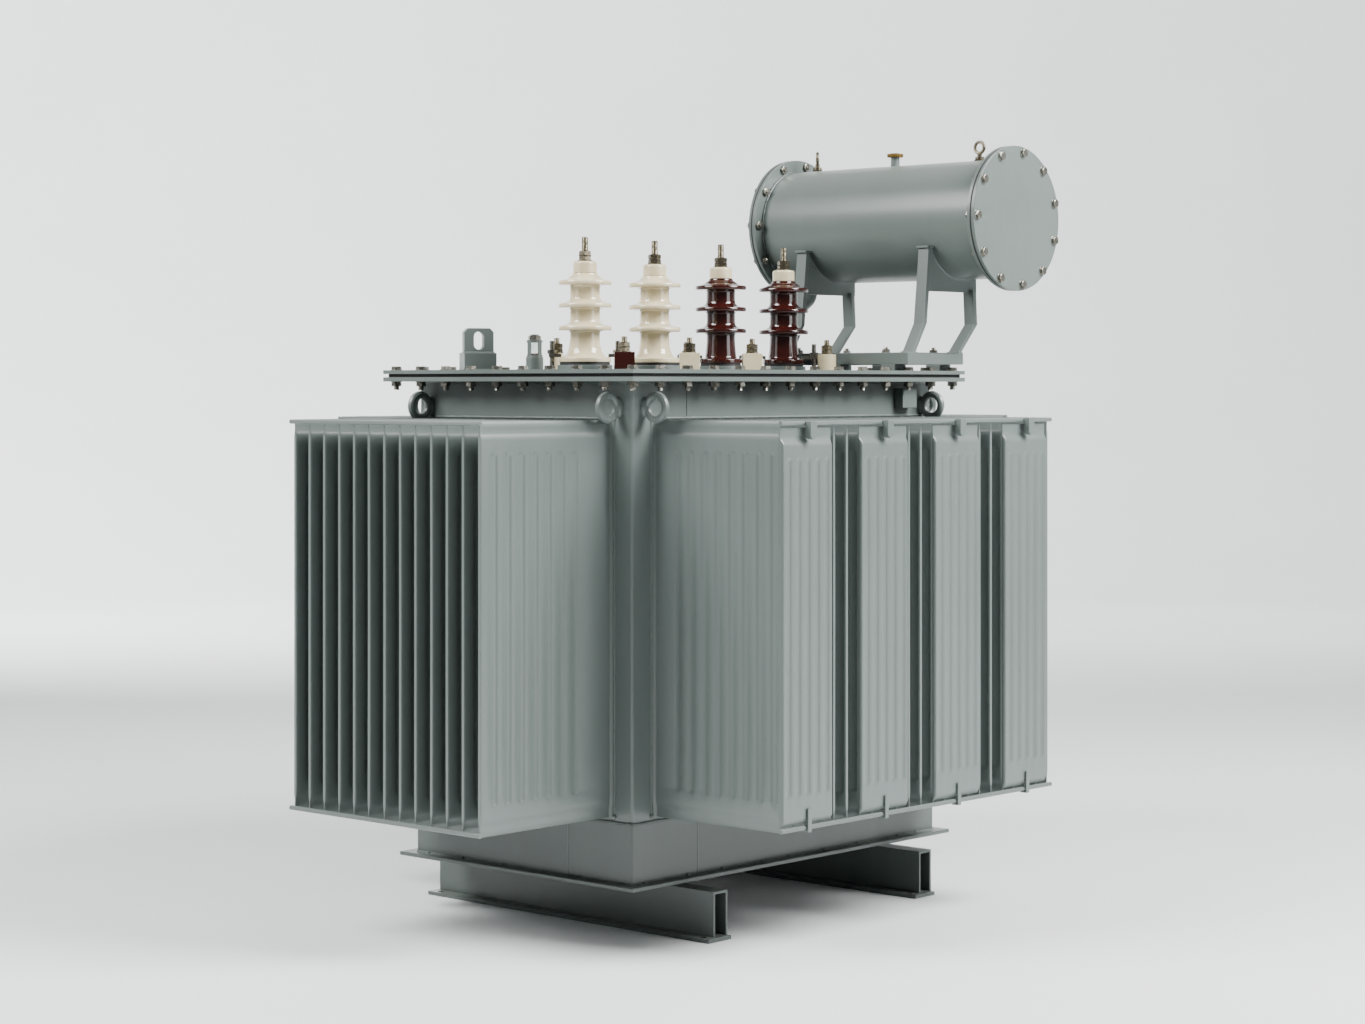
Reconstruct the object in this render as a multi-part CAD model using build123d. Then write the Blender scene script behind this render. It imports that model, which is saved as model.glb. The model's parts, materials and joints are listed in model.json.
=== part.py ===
from build123d import *
import os
from math import cos, pi, radians, sin, sqrt

# Oil-filled distribution transformer with a finned tank and an oil conservator.
# Millimetres. X is the tank's long direction, Y its short direction and +Z is up.
# The origin is on the floor, at the centre of the tank. "Front" is the -Y side,
# "left" is the -X side, and the conservator hangs over the right end (+X).

# ---------------------------------------------------------------- tank and skids
tank_length = 970.0
tank_width = 620.0
sheet_wall = 5.0
skirt_proud = 5.0
skirt_wall = 10.0
skirt_height = 118.0
wall_height = 880.0
base_thickness = 8.0
base_overhang = 25.0

skid_gauge = 671.0
skid_length = 820.0
sole_width = 68.0
sole_thickness = 8.0
sole_end = 10.0
skid_beam_width = 42.0
skid_beam_height = 90.0
skid_beam_wall = 5.0
packer_height = 14.0
packer_length = 70.0
packer_inset = 90.0
skid_hole_radius = 7.0
skid_hole_from_end = 26.0
skid_hole_from_edge = 13.0

# ---------------------------------------------------------------- cooling fins
fin_thickness = 10.0
fin_sheet = 1.5
fin_bottom_gap = 10.6
fin_height = 792.4
side_fin_count = 13
side_fin_depth = 358.0
side_fin_margin = 62.0
side_fin_last = 18.0
front_fin_count = 23
front_fin_depth = 328.0
front_fin_margin = 70.0
front_fin_last = 20.0
tip_bar_radius = 4.5
tip_bar_overhang = 8.0
panel_count = 4
panel_pitch_in_fins = 6.025
panel_width_in_fins = 3.8
panel_depth = 8.0
panel_sheet = 1.5
panel_gap = 4.0
hanger_width = 20.0
hanger_depth = 14.0
hanger_height = 36.0
strap_width = 11.0
strap_thickness = 4.0
strap_height = 42.0

# ---------------------------------------------------------------- cover joint
flange_overhang = 55.0
flange_thickness = 9.0
gasket_thickness = 7.0
gasket_inset = 8.0
cover_thickness = 8.0
cover_bolt_inset = 20.0
cover_bolt_radius = 6.0
cover_hole_clearance = 1.0
cover_gaps_long = 13
cover_gaps_short = 9
bolt_head_flats = 19.0
bolt_head_height = 8.0
cover_nut_height = 10.0
cover_bolt_tail = 18.0
nut_clearance = 0.05

# ---------------------------------------------------------------- eyes and pads
eye_ring_radius = 24.0
eye_bar_radius = 8.0
eye_from_corner = 36.0
eye_gap = 0.5
eye_below_flange = 52.0
earth_pad_size = (50.0, 24.0, 44.0)
earth_pad_from_end = 105.0
lug_place = (-450.0, 168.0)
lug_turn = -28.0
lug_width = 64.0
lug_height = 52.0
lug_thickness = 18.0
lug_slot_width = 22.0
lug_slot_height = 38.0
lug_chamfer = 8.0
pedestal_width = 70.0
pedestal_depth = 42.0
pedestal_height = 36.0

# ---------------------------------------------------------------- sight gauge
gauge_place = (-365.0, 85.0)
gauge_collar_radius = 18.5
gauge_collar_height = 27.0
gauge_cage_radius = 17.0
gauge_cage_wall = 2.5
gauge_cage_height = 36.0
gauge_window_width = 15.0
gauge_window_margin = 5.0
gauge_glass_wall = 2.0
gauge_glass_gap = 0.2
gauge_cap_flats = 24.0
gauge_cap_height = 12.0
gauge_float_radius = 9.0
gauge_float_height = 8.0

# ---------------------------------------------------------------- bushings
hv_count = 4
hv_pitch = 212.0
hv_clamp_past_frame = 6.0
hv_row = -60.0
hv_cream = 2
seat_height = 10.0
seat_margin = 3.0
seal_height = 6.0
seal_inset = 2.0
hv_body_height = 184.0
hv_base_radius_cream = 54.0
hv_base_radius_brown = 46.0
hv_base_height = 10.0
hv_shoulder = 8.0
hv_flare_height = 46.0
hv_core_radius = 29.0
hv_shed_radius = 54.0
hv_shed_first = 71.0
hv_shed_pitch = 47.0
hv_shed_count = 3
hv_shed_rise = 15.0
hv_shed_edge = 2.5
hv_neck_radius = 24.5
hv_cap_height = 25.0
hv_stem_radius = 8.0
hv_tip_radius = 7.0
hv_stud_above = 50.0
stud_below = 60.0
stem_over_nuts = 1.0
stud_gap = 0.1
bore_clearance = 1.0
stud_nut_flats = 24.0
stud_nut_height = 10.0
stud_nut_gap = 1.0
clamp_stud_radius = 5.0
clamp_stud_height = 60.0
clamp_from_base = 14.0
clamp_nut_flats = 17.0
clamp_nut_height = 8.0
clamp_arm_width = 14.0
clamp_arm_thickness = 7.0
clamp_arm_above_base = 0.3
clamp_arm_gap = 2.5
clamp_angles = (135, 315)
lv_row = -180.0
lv_places = (-370.0, -172.0, 28.0, 280.0)
lv_block_side = 42.0
lv_block_turn = 45.0
lv_height = 36.0
lv_round_radius = 20.5
small_post_place = (-324.0, 60.0)
small_post_radius = 13.5
lv_stem_radius = 7.0
lv_tip_radius = 6.0
lv_stud_above = 32.0
lv_nut_flats = 22.0
lv_nut_height = 9.0
lv_nut_gap = 2.0

# ---------------------------------------------------------------- conservator
cons_beyond_cover = 10.0
cons_clear = 204.0
cons_before_frame = 138.0
cons_past_frame = 109.0
cons_radius = 132.0
cons_wall = 4.0
cons_flange_proud = 28.0
cons_flange_thickness = 8.0
cons_end_thickness = 8.0
cons_gasket = 3.0
cons_bolts = 11
cons_bolt_proud = 15.0
cons_bolt_radius = 5.0
cons_bolt_first = 81.0
cons_head_flats = 17.0
cons_head_height = 7.0
eyebolt_from_near = 102.0
eyebolt_from_far = 75.0
eyebolt_turns = (90.0, 42.0)
eyebolt_ring_radius = 12.5
eyebolt_bar_radius = 3.5
eyebolt_shank_radius = 5.0
eyebolt_shank_height = 16.0
eyebolt_boss_radius = 10.0
eyebolt_boss_height = 10.0
filler_from_near = 340.0
filler_radius = 10.0
filler_wall = 3.0
filler_height = 20.0
filler_cap_radius = 18.5
filler_cap_height = 9.0
filler_cap_gap = 0.3
bracket_in_near = 17.0
bracket_in_far = 31.0
leg_width = 28.0
leg_thickness = 12.0
leg_left_foot_in = 188.0
leg_left_bend_in = 147.0
leg_left_bend_up = 105.0
leg_left_top_in = 3.0
leg_right_foot_in = 22.0
leg_right_bend_out = 39.0
leg_right_bend_up = 104.0
leg_right_top_out = 34.0
leg_right_top_below = 22.0
leg_cap_thickness = 5.0
saddle_thickness = 6.0
saddle_below = 28.0
saddle_right_out = 56.0
saddle_lip = 4.0
frame_width = 202.0
frame_inset = 2.0
frame_past_bolts = 17.0
frame_y1 = 36.0
frame_bar = 30.0
frame_height = 26.0
frame_foot_height = 14.0
frame_foot_side = 40.0
frame_foot_gaps = (0, 2, 4)

# ---------------------------------------------------------------- oil pipe and valve
pipe_in = 88.0
pipe_before_end = 53.0
pipe_radius = 17.0
pipe_wall = 3.0
pipe_rise_up = 120.0
pipe_slope_below = 31.0
pipe_bend = 30.0
pipe_flange_radius = 36.0
pipe_flange_thickness = 8.0
valve_up = 44.0
valve_height = 46.0
valve_radius = 25.0
valve_stem_radius = 6.0
valve_stem_length = 16.0
lever_gap = 0.05
lever_thickness = 6.0
lever_width = 14.0
lever_length = 62.0
lever_hub_radius = 12.0

# ---------------------------------------------------------------- level gauge
dial_radius = 52.0
dial_depth = 30.0
dial_wall = 4.0
dial_back = 6.0
pointer_length = 36.0
pointer_width = 6.0
pointer_thickness = 2.5
pointer_shaft_radius = 4.0
pointer_gap = 0.05
dial_bezel = 4.0
float_arm_length = 84.0
float_arm_radius = 4.0
float_ball_radius = 16.0
float_drop = 40.0
float_shaft_radius = 6.0
float_boss_radius = 14.0
float_boss_length = 14.0
float_gap = 0.05
float_inset = 12.0
float_spindle_end = 6.0

# ---------------------------------------------------------------- tap changer
tap_place = (75.0, 160.0)
tap_boss_radius = 24.0
tap_boss_height = 16.0
tap_shaft_radius = 8.0
tap_gap = 0.05
tap_knob_radius = 30.0
tap_knob_height = 14.0
tap_knob_lift = 2.0
tap_grip_height = 16.0
tap_grip_width = 12.0
tap_tube_radius = 20.0
tap_depth = 170.0
tap_switch_height = 60.0
tap_switch_side = 70.0

# ---------------------------------------------------------------- drain valve
drain_z_above_base = 45.0
drain_radius = 16.0
drain_bore = 8.0
drain_length = 46.0
drain_body_radius = 24.0
drain_body_length = 30.0
drain_boss_flats = 34.0
drain_boss_height = 8.0
drain_tail_radius = 11.0
drain_tail_length = 22.0
drain_stem_radius = 5.0
drain_stem_length = 18.0
drain_wheel_radius = 32.0
drain_wheel_bar = 4.0
drain_hub_radius = 9.0
drain_gap = 0.05

# ---------------------------------------------------------------- core and coils
limb_pitch = 280.0
limb_radius = 82.0
yoke_height = 150.0
window_height = 480.0
core_lift = 50.0
clamp_beam_thickness = 20.0
clamp_beam_overhang = 30.0
coil_end_gap = 12.0
lv_coil_inner = 86.0
lv_coil_outer = 100.0
hv_coil_inner = 108.0
hv_coil_outer = 130.0

# ---------------------------------------------------------------- worked-out places
half_x = tank_length / 2
half_y = tank_width / 2
skid_top = sole_thickness + skid_beam_height
base_bottom = skid_top + packer_height
base_top = base_bottom + base_thickness
skirt_top = base_top + skirt_height
wall_top = skirt_top + wall_height
fin_bottom = skirt_top + fin_bottom_gap
fin_top = fin_bottom + fin_height
flange_top = wall_top + flange_thickness
gasket_top = flange_top + gasket_thickness
cover_top = gasket_top + cover_thickness
eye_out = eye_ring_radius + eye_bar_radius + eye_gap
cover_x = half_x + flange_overhang
cover_y = half_y + flange_overhang
front_fin_pitch = (tank_length - front_fin_margin - front_fin_last) / (front_fin_count - 1)
side_fin_pitch = (tank_width - side_fin_margin - side_fin_last) / (side_fin_count - 1)
panel_pitch = panel_pitch_in_fins * front_fin_pitch
panel_width = panel_width_in_fins * front_fin_pitch
clamp_radius = hv_base_radius_cream + clamp_from_base
cons_x = cover_x + cons_beyond_cover
cons_z = cover_top + cons_clear + cons_radius
frame_x1 = cover_x - frame_inset
frame_x0 = frame_x1 - frame_width
frame_y0 = cover_bolt_inset - cover_y - frame_past_bolts
cons_near = frame_y0 - cons_before_frame
cons_far = frame_y1 + cons_past_frame
cons_flange_radius = cons_radius + cons_flange_proud
cons_bolt_circle = cons_radius + cons_bolt_proud
filler_y = cons_near + filler_from_near
eyebolt_places = (cons_near + eyebolt_from_near, cons_far - eyebolt_from_far)
bracket_places = (frame_y0 + bracket_in_near, frame_y1 - bracket_in_far)
leg_left_foot = cons_x - leg_left_foot_in
leg_left_bend = (cons_x - leg_left_bend_in, cover_top + leg_left_bend_up)
leg_left_top = (cons_x - cons_radius + leg_left_top_in, cons_z - cons_radius / 2 + 1)
leg_right_foot = cons_x - leg_right_foot_in
leg_right_bend = (cons_x + leg_right_bend_out, cover_top + leg_right_bend_up)
leg_right_top = (cons_x + leg_right_top_out, cons_z - cons_radius - leg_right_top_below)
saddle_bottom = cons_z - cons_radius - saddle_below
saddle_right = cons_x + saddle_right_out
pipe_place = (cons_x - pipe_in, cons_far - pipe_before_end)
pipe_rise = cover_top + pipe_rise_up
pipe_slope_top = cons_z - cons_radius - pipe_slope_below
valve_bottom = cover_top + valve_up
inner_x = half_x - sheet_wall
inner_y = half_y - sheet_wall
hv_bottom = cover_top + seat_height + seal_height
hv_top = hv_bottom + hv_body_height
# The stud circle of the last bushing reaches just past the line of the base frame; its studs
# stand at forty-five degrees, so they clear the frame.
hv_last = frame_x0 - clamp_radius + hv_clamp_past_frame
hv_places = [hv_last - (hv_count - 1 - i) * hv_pitch for i in range(hv_count)]
shell_near = cons_near + cons_end_thickness + cons_gasket + cons_flange_thickness
shell_far = cons_far - cons_end_thickness - cons_gasket - cons_flange_thickness
frame_top = cover_top + frame_foot_height + frame_height
cons_top = cons_z + cons_radius


def block(x0, x1, y0, y1, z0, z1):
    """A box between two corners."""
    place = Pos((x0 + x1) / 2, (y0 + y1) / 2, (z0 + z1) / 2)
    return place * Box(x1 - x0, y1 - y0, z1 - z0)


def post(x, y, z0, z1, radius):
    """An upright round bar."""
    return Pos(x, y, (z0 + z1) / 2) * Cylinder(radius, z1 - z0)


def bar_y(x, z, y0, y1, radius):
    """A round bar along Y."""
    return Pos(x, (y0 + y1) / 2, z) * Rot(90, 0, 0) * Cylinder(radius, y1 - y0)


def bar_x(y, z, x0, x1, radius):
    """A round bar along X."""
    return Pos((x0 + x1) / 2, y, z) * Rot(0, 90, 0) * Cylinder(radius, x1 - x0)


def hexagon(x, y, z0, z1, flats):
    """An upright hexagonal prism, given its size across flats."""
    outline = RegularPolygon(radius=flats / 2, side_count=6, major_radius=False)
    return Pos(x, y, z0) * extrude(outline, amount=z1 - z0)


def hexagon_y(x, z, y0, y1, flats):
    """A hexagonal prism along Y."""
    outline = RegularPolygon(radius=flats / 2, side_count=6, major_radius=False)
    return Pos(x, y1, z) * Rot(90, 0, 0) * extrude(outline, amount=y1 - y0)


def ring_frame(outer_x, outer_y, inner_half_x, inner_half_y, z0, z1):
    """A rectangular ring around the tank."""
    outside = block(-outer_x, outer_x, -outer_y, outer_y, z0, z1)
    return outside - block(-inner_half_x, inner_half_x, -inner_half_y, inner_half_y, z0 - 1, z1 + 1)


def save(name, *pieces):
    """Writes one node; each piece stays a separate solid."""
    solids = [solid for piece in pieces for solid in piece.solids()]
    export_step(Compound(children=solids), f"parts/{name}.step")


# ---------------------------------------------------------------- skids
def skid(centre):
    """An inverted channel on a sole plate with a fixing hole at each end."""
    sole_x0 = centre - sole_width / 2
    sole_x1 = centre + sole_width / 2
    half = skid_length / 2
    sole = block(sole_x0, sole_x1, -half, half, 0, sole_thickness)
    for side in (-1, 1):
        hole_y = side * (half - skid_hole_from_end)
        sole -= post(sole_x0 + skid_hole_from_edge, hole_y, -1, sole_thickness + 1, skid_hole_radius)
    beam_x0 = sole_x1 - skid_beam_width
    beam_half = half - sole_end
    beam = block(beam_x0, sole_x1, -beam_half, beam_half, sole_thickness, skid_top)
    beam -= block(
        beam_x0 + skid_beam_wall,
        sole_x1 - skid_beam_wall,
        -half,
        half,
        sole_thickness - 1,
        skid_top - skid_beam_wall,
    )
    return [sole, beam]


def packers():
    """Four packing plates between the skids and the tank's base."""
    plates = []
    for centre in (-skid_gauge / 2, skid_gauge / 2):
        beam_x1 = centre + sole_width / 2
        beam_x0 = beam_x1 - skid_beam_width
        for side in (-1, 1):
            middle = side * (half_y - packer_inset)
            y0 = middle - packer_length / 2
            y1 = middle + packer_length / 2
            plates.append(block(beam_x0, beam_x1, y0, y1, skid_top, base_bottom))
    return plates


# ---------------------------------------------------------------- walls and fins
def fin_places(count, pitch, margin, half):
    """Fin centres along a wall, counted from the corner nearest -X or -Y."""
    return [-half + margin + i * pitch for i in range(count)]


front_fins = fin_places(front_fin_count, front_fin_pitch, front_fin_margin, half_x)
side_fins = fin_places(side_fin_count, side_fin_pitch, side_fin_margin, half_y)


def long_wall(side):
    """A long wall of the tank, with an oil slot into each fin."""
    y0, y1 = sorted((side * inner_y, side * half_y))
    wall = block(-half_x, half_x, y0, y1, skirt_top, wall_top)
    slot = fin_thickness / 2 - fin_sheet
    for x in front_fins:
        wall -= block(x - slot, x + slot, y0 - 1, y1 + 1, fin_bottom + fin_sheet, fin_top - fin_sheet)
    return wall


def short_wall(side):
    """A short wall of the tank, between the long ones."""
    x0, x1 = sorted((side * inner_x, side * half_x))
    wall = block(x0, x1, -inner_y, inner_y, skirt_top, wall_top)
    slot = fin_thickness / 2 - fin_sheet
    for y in side_fins:
        wall -= block(x0 - 1, x1 + 1, y - slot, y + slot, fin_bottom + fin_sheet, fin_top - fin_sheet)
    return wall


def fin_y(side):
    """One hollow fin on a long wall, at X = 0, open into the tank."""
    y0, y1 = sorted((side * half_y, side * (half_y + front_fin_depth)))
    half = fin_thickness / 2
    outer = block(-half, half, y0, y1, fin_bottom, fin_top)
    v0, v1 = sorted((side * (half_y - 1), side * (half_y + front_fin_depth - fin_sheet)))
    inner = half - fin_sheet
    return outer - block(-inner, inner, v0, v1, fin_bottom + fin_sheet, fin_top - fin_sheet)


def fin_x(side):
    """One hollow fin on a short wall, at Y = 0, open into the tank."""
    x0, x1 = sorted((side * half_x, side * (half_x + side_fin_depth)))
    half = fin_thickness / 2
    outer = block(x0, x1, -half, half, fin_bottom, fin_top)
    v0, v1 = sorted((side * (half_x - 1), side * (half_x + side_fin_depth - fin_sheet)))
    inner = half - fin_sheet
    return outer - block(v0, v1, -inner, inner, fin_bottom + fin_sheet, fin_top - fin_sheet)


def tip_bars():
    """Round bars welded across the fins' tips, high and low on all four sides."""
    bars = []
    for z in (fin_bottom + tip_bar_radius, fin_top - tip_bar_radius):
        for side in (-1, 1):
            y = side * (half_y + front_fin_depth + tip_bar_radius)
            x0 = front_fins[0] - tip_bar_overhang
            x1 = front_fins[-1] + tip_bar_overhang
            bars.append(bar_x(y, z, x0, x1, tip_bar_radius))
            x = side * (half_x + side_fin_depth + tip_bar_radius)
            y0 = side_fins[0] - tip_bar_overhang
            y1 = side_fins[-1] + tip_bar_overhang
            bars.append(bar_y(x, z, y0, y1, tip_bar_radius))
    return bars


panel_z0 = fin_bottom + 2 * tip_bar_radius + panel_gap
panel_z1 = fin_top - 2 * tip_bar_radius - panel_gap
panel_starts = [front_fins[0] - fin_thickness / 2 + i * panel_pitch for i in range(panel_count)]
tip_y = half_y + front_fin_depth


def facing(side, y0, y1):
    """The two Y values of a piece outside the fins of one long side."""
    return sorted((side * y0, side * y1))


def outer_panel(side, x0):
    """A shallow pressed tray that closes four fin gaps at their tips."""
    y0, y1 = facing(side, tip_y, tip_y + panel_depth)
    tray = block(x0, x0 + panel_width, y0, y1, panel_z0, panel_z1)
    v0, v1 = facing(side, tip_y - 1, tip_y + panel_depth - panel_sheet)
    return tray - block(
        x0 + panel_sheet,
        x0 + panel_width - panel_sheet,
        v0,
        v1,
        panel_z0 + panel_sheet,
        panel_z1 - panel_sheet,
    )


def hanger(side, x0):
    """A round-ended lug that hangs a panel from the upper tip bar."""
    x = x0 + panel_width / 2
    y0, y1 = facing(side, tip_y + 2 * tip_bar_radius, tip_y + 2 * tip_bar_radius + hanger_depth)
    round_z = fin_top - hanger_height + hanger_width / 2
    straight = block(x - hanger_width / 2, x + hanger_width / 2, y0, y1, round_z, fin_top)
    return straight + bar_y(x, round_z, y0, y1, hanger_width / 2)


def strap(side, x0):
    """A narrow strap down the panel's foot and under the lower tip bar."""
    x = x0 + panel_width / 2
    x_low = x - strap_width / 2
    x_high = x + strap_width / 2
    outside = tip_y + 2 * tip_bar_radius
    y0, y1 = facing(side, outside, outside + strap_thickness)
    upright = block(x_low, x_high, y0, y1, fin_bottom - strap_thickness, fin_bottom + strap_height)
    y0, y1 = facing(side, tip_y - strap_thickness, outside + strap_thickness)
    return upright + block(x_low, x_high, y0, y1, fin_bottom - strap_thickness, fin_bottom)


# ---------------------------------------------------------------- cover joint
x_edge = cover_x - cover_bolt_inset
y_edge = cover_y - cover_bolt_inset
long_step = 2 * x_edge / cover_gaps_long
short_step = 2 * y_edge / cover_gaps_short


def cover_bolt_places():
    """Bolt centres round the edge of the cover."""
    places = [(-x_edge + i * long_step, y) for i in range(cover_gaps_long + 1) for y in (-y_edge, y_edge)]
    places += [(x, -y_edge + i * short_step) for i in range(1, cover_gaps_short) for x in (-x_edge, x_edge)]
    return places


bolt_places = cover_bolt_places()
bolt_hole = cover_bolt_radius + cover_hole_clearance


def drilled(plate, z0, z1):
    """The plate with a clearance hole for each cover bolt."""
    for x, y in bolt_places:
        plate -= post(x, y, z0 - 1, z1 + 1, bolt_hole)
    return plate


def cover_bolt(x, y):
    """A hexagon bolt, head on the cover."""
    head = hexagon(x, y, cover_top, cover_top + bolt_head_height, bolt_head_flats)
    tail = wall_top - cover_bolt_tail
    return head + post(x, y, tail, cover_top, cover_bolt_radius)


def cover_nut(x, y):
    """A nut under the tank's flange."""
    nut = hexagon(x, y, wall_top - cover_nut_height, wall_top, bolt_head_flats)
    return nut - post(x, y, wall_top - cover_nut_height - 1, wall_top + 1, cover_bolt_radius + nut_clearance)


# ---------------------------------------------------------------- eyes, lug and pad
def ring_eyes():
    """Welded rings for guy ropes on the neck, one each side of every corner."""
    rings = []
    z = wall_top - eye_below_flange
    for sx in (-1, 1):
        for sy in (-1, 1):
            x = sx * (half_x + eye_out)
            y = sy * (half_y - eye_from_corner)
            ring = Pos(x, y, z) * Rot(90, 0, 0) * Torus(eye_ring_radius, eye_bar_radius)
            x0, x1 = sorted((sx * half_x, sx * (half_x + eye_out - eye_ring_radius + eye_bar_radius / 2)))
            rings.append(ring + block(x0, x1, y - eye_bar_radius, y + eye_bar_radius, z - 10, z + 10))
            x = sx * (half_x - eye_from_corner)
            y = sy * (half_y + eye_out)
            ring = Pos(x, y, z) * Rot(0, 90, 0) * Torus(eye_ring_radius, eye_bar_radius)
            y0, y1 = sorted((sy * half_y, sy * (half_y + eye_out - eye_ring_radius + eye_bar_radius / 2)))
            rings.append(ring + block(x - eye_bar_radius, x + eye_bar_radius, y0, y1, z - 10, z + 10))
    return rings


def lifting_lug():
    """An eye plate with a slot, on a solid pedestal."""
    base = cover_top + pedestal_height
    plate = Pos(0, 0, base + lug_height / 2) * Box(lug_width, lug_thickness, lug_height)
    top_edges = plate.edges().filter_by(Axis.Y).group_by(Axis.Z)[-1]
    plate = chamfer(top_edges, lug_chamfer)
    outline = Plane.XZ * Rot(0, 0, 90) * SlotOverall(lug_slot_height, lug_slot_width)
    slot = extrude(outline, amount=lug_thickness, both=True)
    plate -= Pos(0, 0, base + lug_height / 2) * slot
    pedestal = Box(pedestal_width, pedestal_depth, pedestal_height)
    pedestal = Pos(0, 0, cover_top + pedestal_height / 2) * pedestal
    place = Pos(lug_place[0], lug_place[1], 0) * Rot(0, 0, lug_turn)
    return [place * plate, place * pedestal]


# ---------------------------------------------------------------- sight gauge
gauge_base = cover_top + gauge_collar_height
gauge_glass_radius = gauge_cage_radius - gauge_cage_wall - gauge_glass_gap


def gauge_cage():
    """A collar with a slotted metal cage round the sight glass."""
    x, y = gauge_place
    top = gauge_base + gauge_cage_height
    body = post(x, y, cover_top, gauge_base, gauge_collar_radius)
    body += post(x, y, gauge_base, top, gauge_cage_radius)
    body -= post(x, y, gauge_base, top + 1, gauge_cage_radius - gauge_cage_wall)
    z0 = gauge_base + gauge_window_margin
    z1 = top - gauge_window_margin
    half = gauge_window_width / 2
    reach = gauge_cage_radius + 1
    window = block(-reach, reach, -half, half, z0, z1) + block(-half, half, -reach, reach, z0, z1)
    return body - Pos(x, y, 0) * Rot(0, 0, 45) * window


def gauge_glass():
    """The round sight glass, open inside for its float."""
    x, y = gauge_place
    top = gauge_base + gauge_cage_height
    glass = post(x, y, gauge_base, top, gauge_glass_radius)
    return glass - post(x, y, gauge_base - 1, top + 1, gauge_glass_radius - gauge_glass_wall)


# ---------------------------------------------------------------- bushings
def hv_porcelain(x, base_radius):
    """A high-voltage insulator: flared base, plain core and sloping sheds."""
    outline = [(hv_stem_radius + bore_clearance, 0), (base_radius, 0), (base_radius, hv_base_height)]
    outline.append((base_radius - hv_shoulder, hv_base_height))
    outline.append((hv_core_radius + 4, hv_flare_height / 2 + hv_base_height))
    outline.append((hv_core_radius, hv_flare_height + hv_base_height))
    for i in range(hv_shed_count):
        tip = hv_shed_first + i * hv_shed_pitch
        outline.append((hv_core_radius, tip - hv_shed_edge * 3))
        outline.append((hv_shed_radius, tip - hv_shed_edge))
        outline.append((hv_shed_radius, tip + hv_shed_edge))
        outline.append((hv_core_radius, tip + hv_shed_rise))
    outline.append((hv_neck_radius, hv_body_height))
    outline.append((hv_stem_radius + bore_clearance, hv_body_height))
    wire = Polyline(*[(r, 0, z) for r, z in outline], close=True)
    return Pos(x, hv_row, hv_bottom) * revolve(make_face(wire), Axis.Z)


def ring(x, y, z0, z1, outer, inner):
    """An upright round ring."""
    return post(x, y, z0, z1, outer) - post(x, y, z0 - 1, z1 + 1, inner)


def terminal_stud(x, y, stem_top, top, stem_radius, tip_radius):
    """A stud through the cover, turned down above its nuts to take a cable lug."""
    return post(x, y, cover_top - stud_below, stem_top, stem_radius) + post(x, y, stem_top, top, tip_radius)


def stud_nuts(x, y, z, flats, height, gap, radius):
    """Two nuts on a terminal stud, one above the other."""
    nuts = []
    for i in range(2):
        low = z + i * (height + gap)
        nut = hexagon(x, y, low, low + height, flats)
        nuts.append(nut - post(x, y, low - 1, low + height + 1, radius + nut_clearance))
    return nuts


def clamp_set(x, base_radius):
    """Two hold-down arms, studs and nuts on opposite sides of one insulator."""
    pieces = []
    arm_z = hv_bottom + hv_base_height + clamp_arm_above_base
    for angle in clamp_angles:
        turn = Pos(x, hv_row, 0) * Rot(0, 0, angle)
        arm = block(
            base_radius - hv_shoulder + clamp_arm_gap,
            clamp_radius + clamp_arm_width / 2,
            -clamp_arm_width / 2,
            clamp_arm_width / 2,
            arm_z,
            arm_z + clamp_arm_thickness,
        )
        hole = clamp_stud_radius + nut_clearance
        arm -= post(clamp_radius, 0, arm_z - 1, arm_z + clamp_arm_thickness + 1, hole)
        pin = post(clamp_radius, 0, cover_top, cover_top + clamp_stud_height, clamp_stud_radius)
        nut_z = arm_z + clamp_arm_thickness
        nut = hexagon(clamp_radius, 0, nut_z, nut_z + clamp_nut_height, clamp_nut_flats)
        nut -= post(clamp_radius, 0, nut_z - 1, nut_z + clamp_nut_height + 1, hole)
        pieces += [turn * arm, turn * pin, turn * nut]
    return pieces


def lv_block(x, y):
    """A square low-voltage terminal block, set cornerwise on the cover."""
    body = Pos(x, y, cover_top + lv_height / 2) * Rot(0, 0, lv_block_turn) * Box(
        lv_block_side, lv_block_side, lv_height
    )
    return body - post(x, y, cover_top - 1, cover_top + lv_height + 1, lv_stem_radius + stud_gap)


# ---------------------------------------------------------------- conservator
def cons_bolt_angles():
    """Angles of the end-cover bolts, evenly spaced."""
    return [radians(cons_bolt_first + i * 360 / cons_bolts) for i in range(cons_bolts)]


def cons_holes(disc, y0, y1):
    """The disc or ring with its bolt holes."""
    for angle in cons_bolt_angles():
        x = cons_x + cons_bolt_circle * cos(angle)
        z = cons_z + cons_bolt_circle * sin(angle)
        disc -= bar_y(x, z, y0 - 1, y1 + 1, cons_bolt_radius + cover_hole_clearance)
    return disc


def cons_ring(y0, y1, inner):
    """A drilled ring of the end joint."""
    disc = bar_y(cons_x, cons_z, y0, y1, cons_flange_radius)
    return cons_holes(disc - bar_y(cons_x, cons_z, y0 - 1, y1 + 1, inner), y0, y1)


def cons_shell():
    """The conservator's barrel, with its filler and pipe holes."""
    shell = bar_y(cons_x, cons_z, shell_near, shell_far, cons_radius)
    shell -= bar_y(cons_x, cons_z, shell_near - 1, shell_far + 1, cons_radius - cons_wall)
    shell -= post(cons_x, filler_y, cons_z, cons_top + 1, filler_radius - filler_wall)
    return shell - post(cons_x, pipe_place[1], cons_z - cons_radius - 1, cons_z, pipe_radius - pipe_wall)


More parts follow.
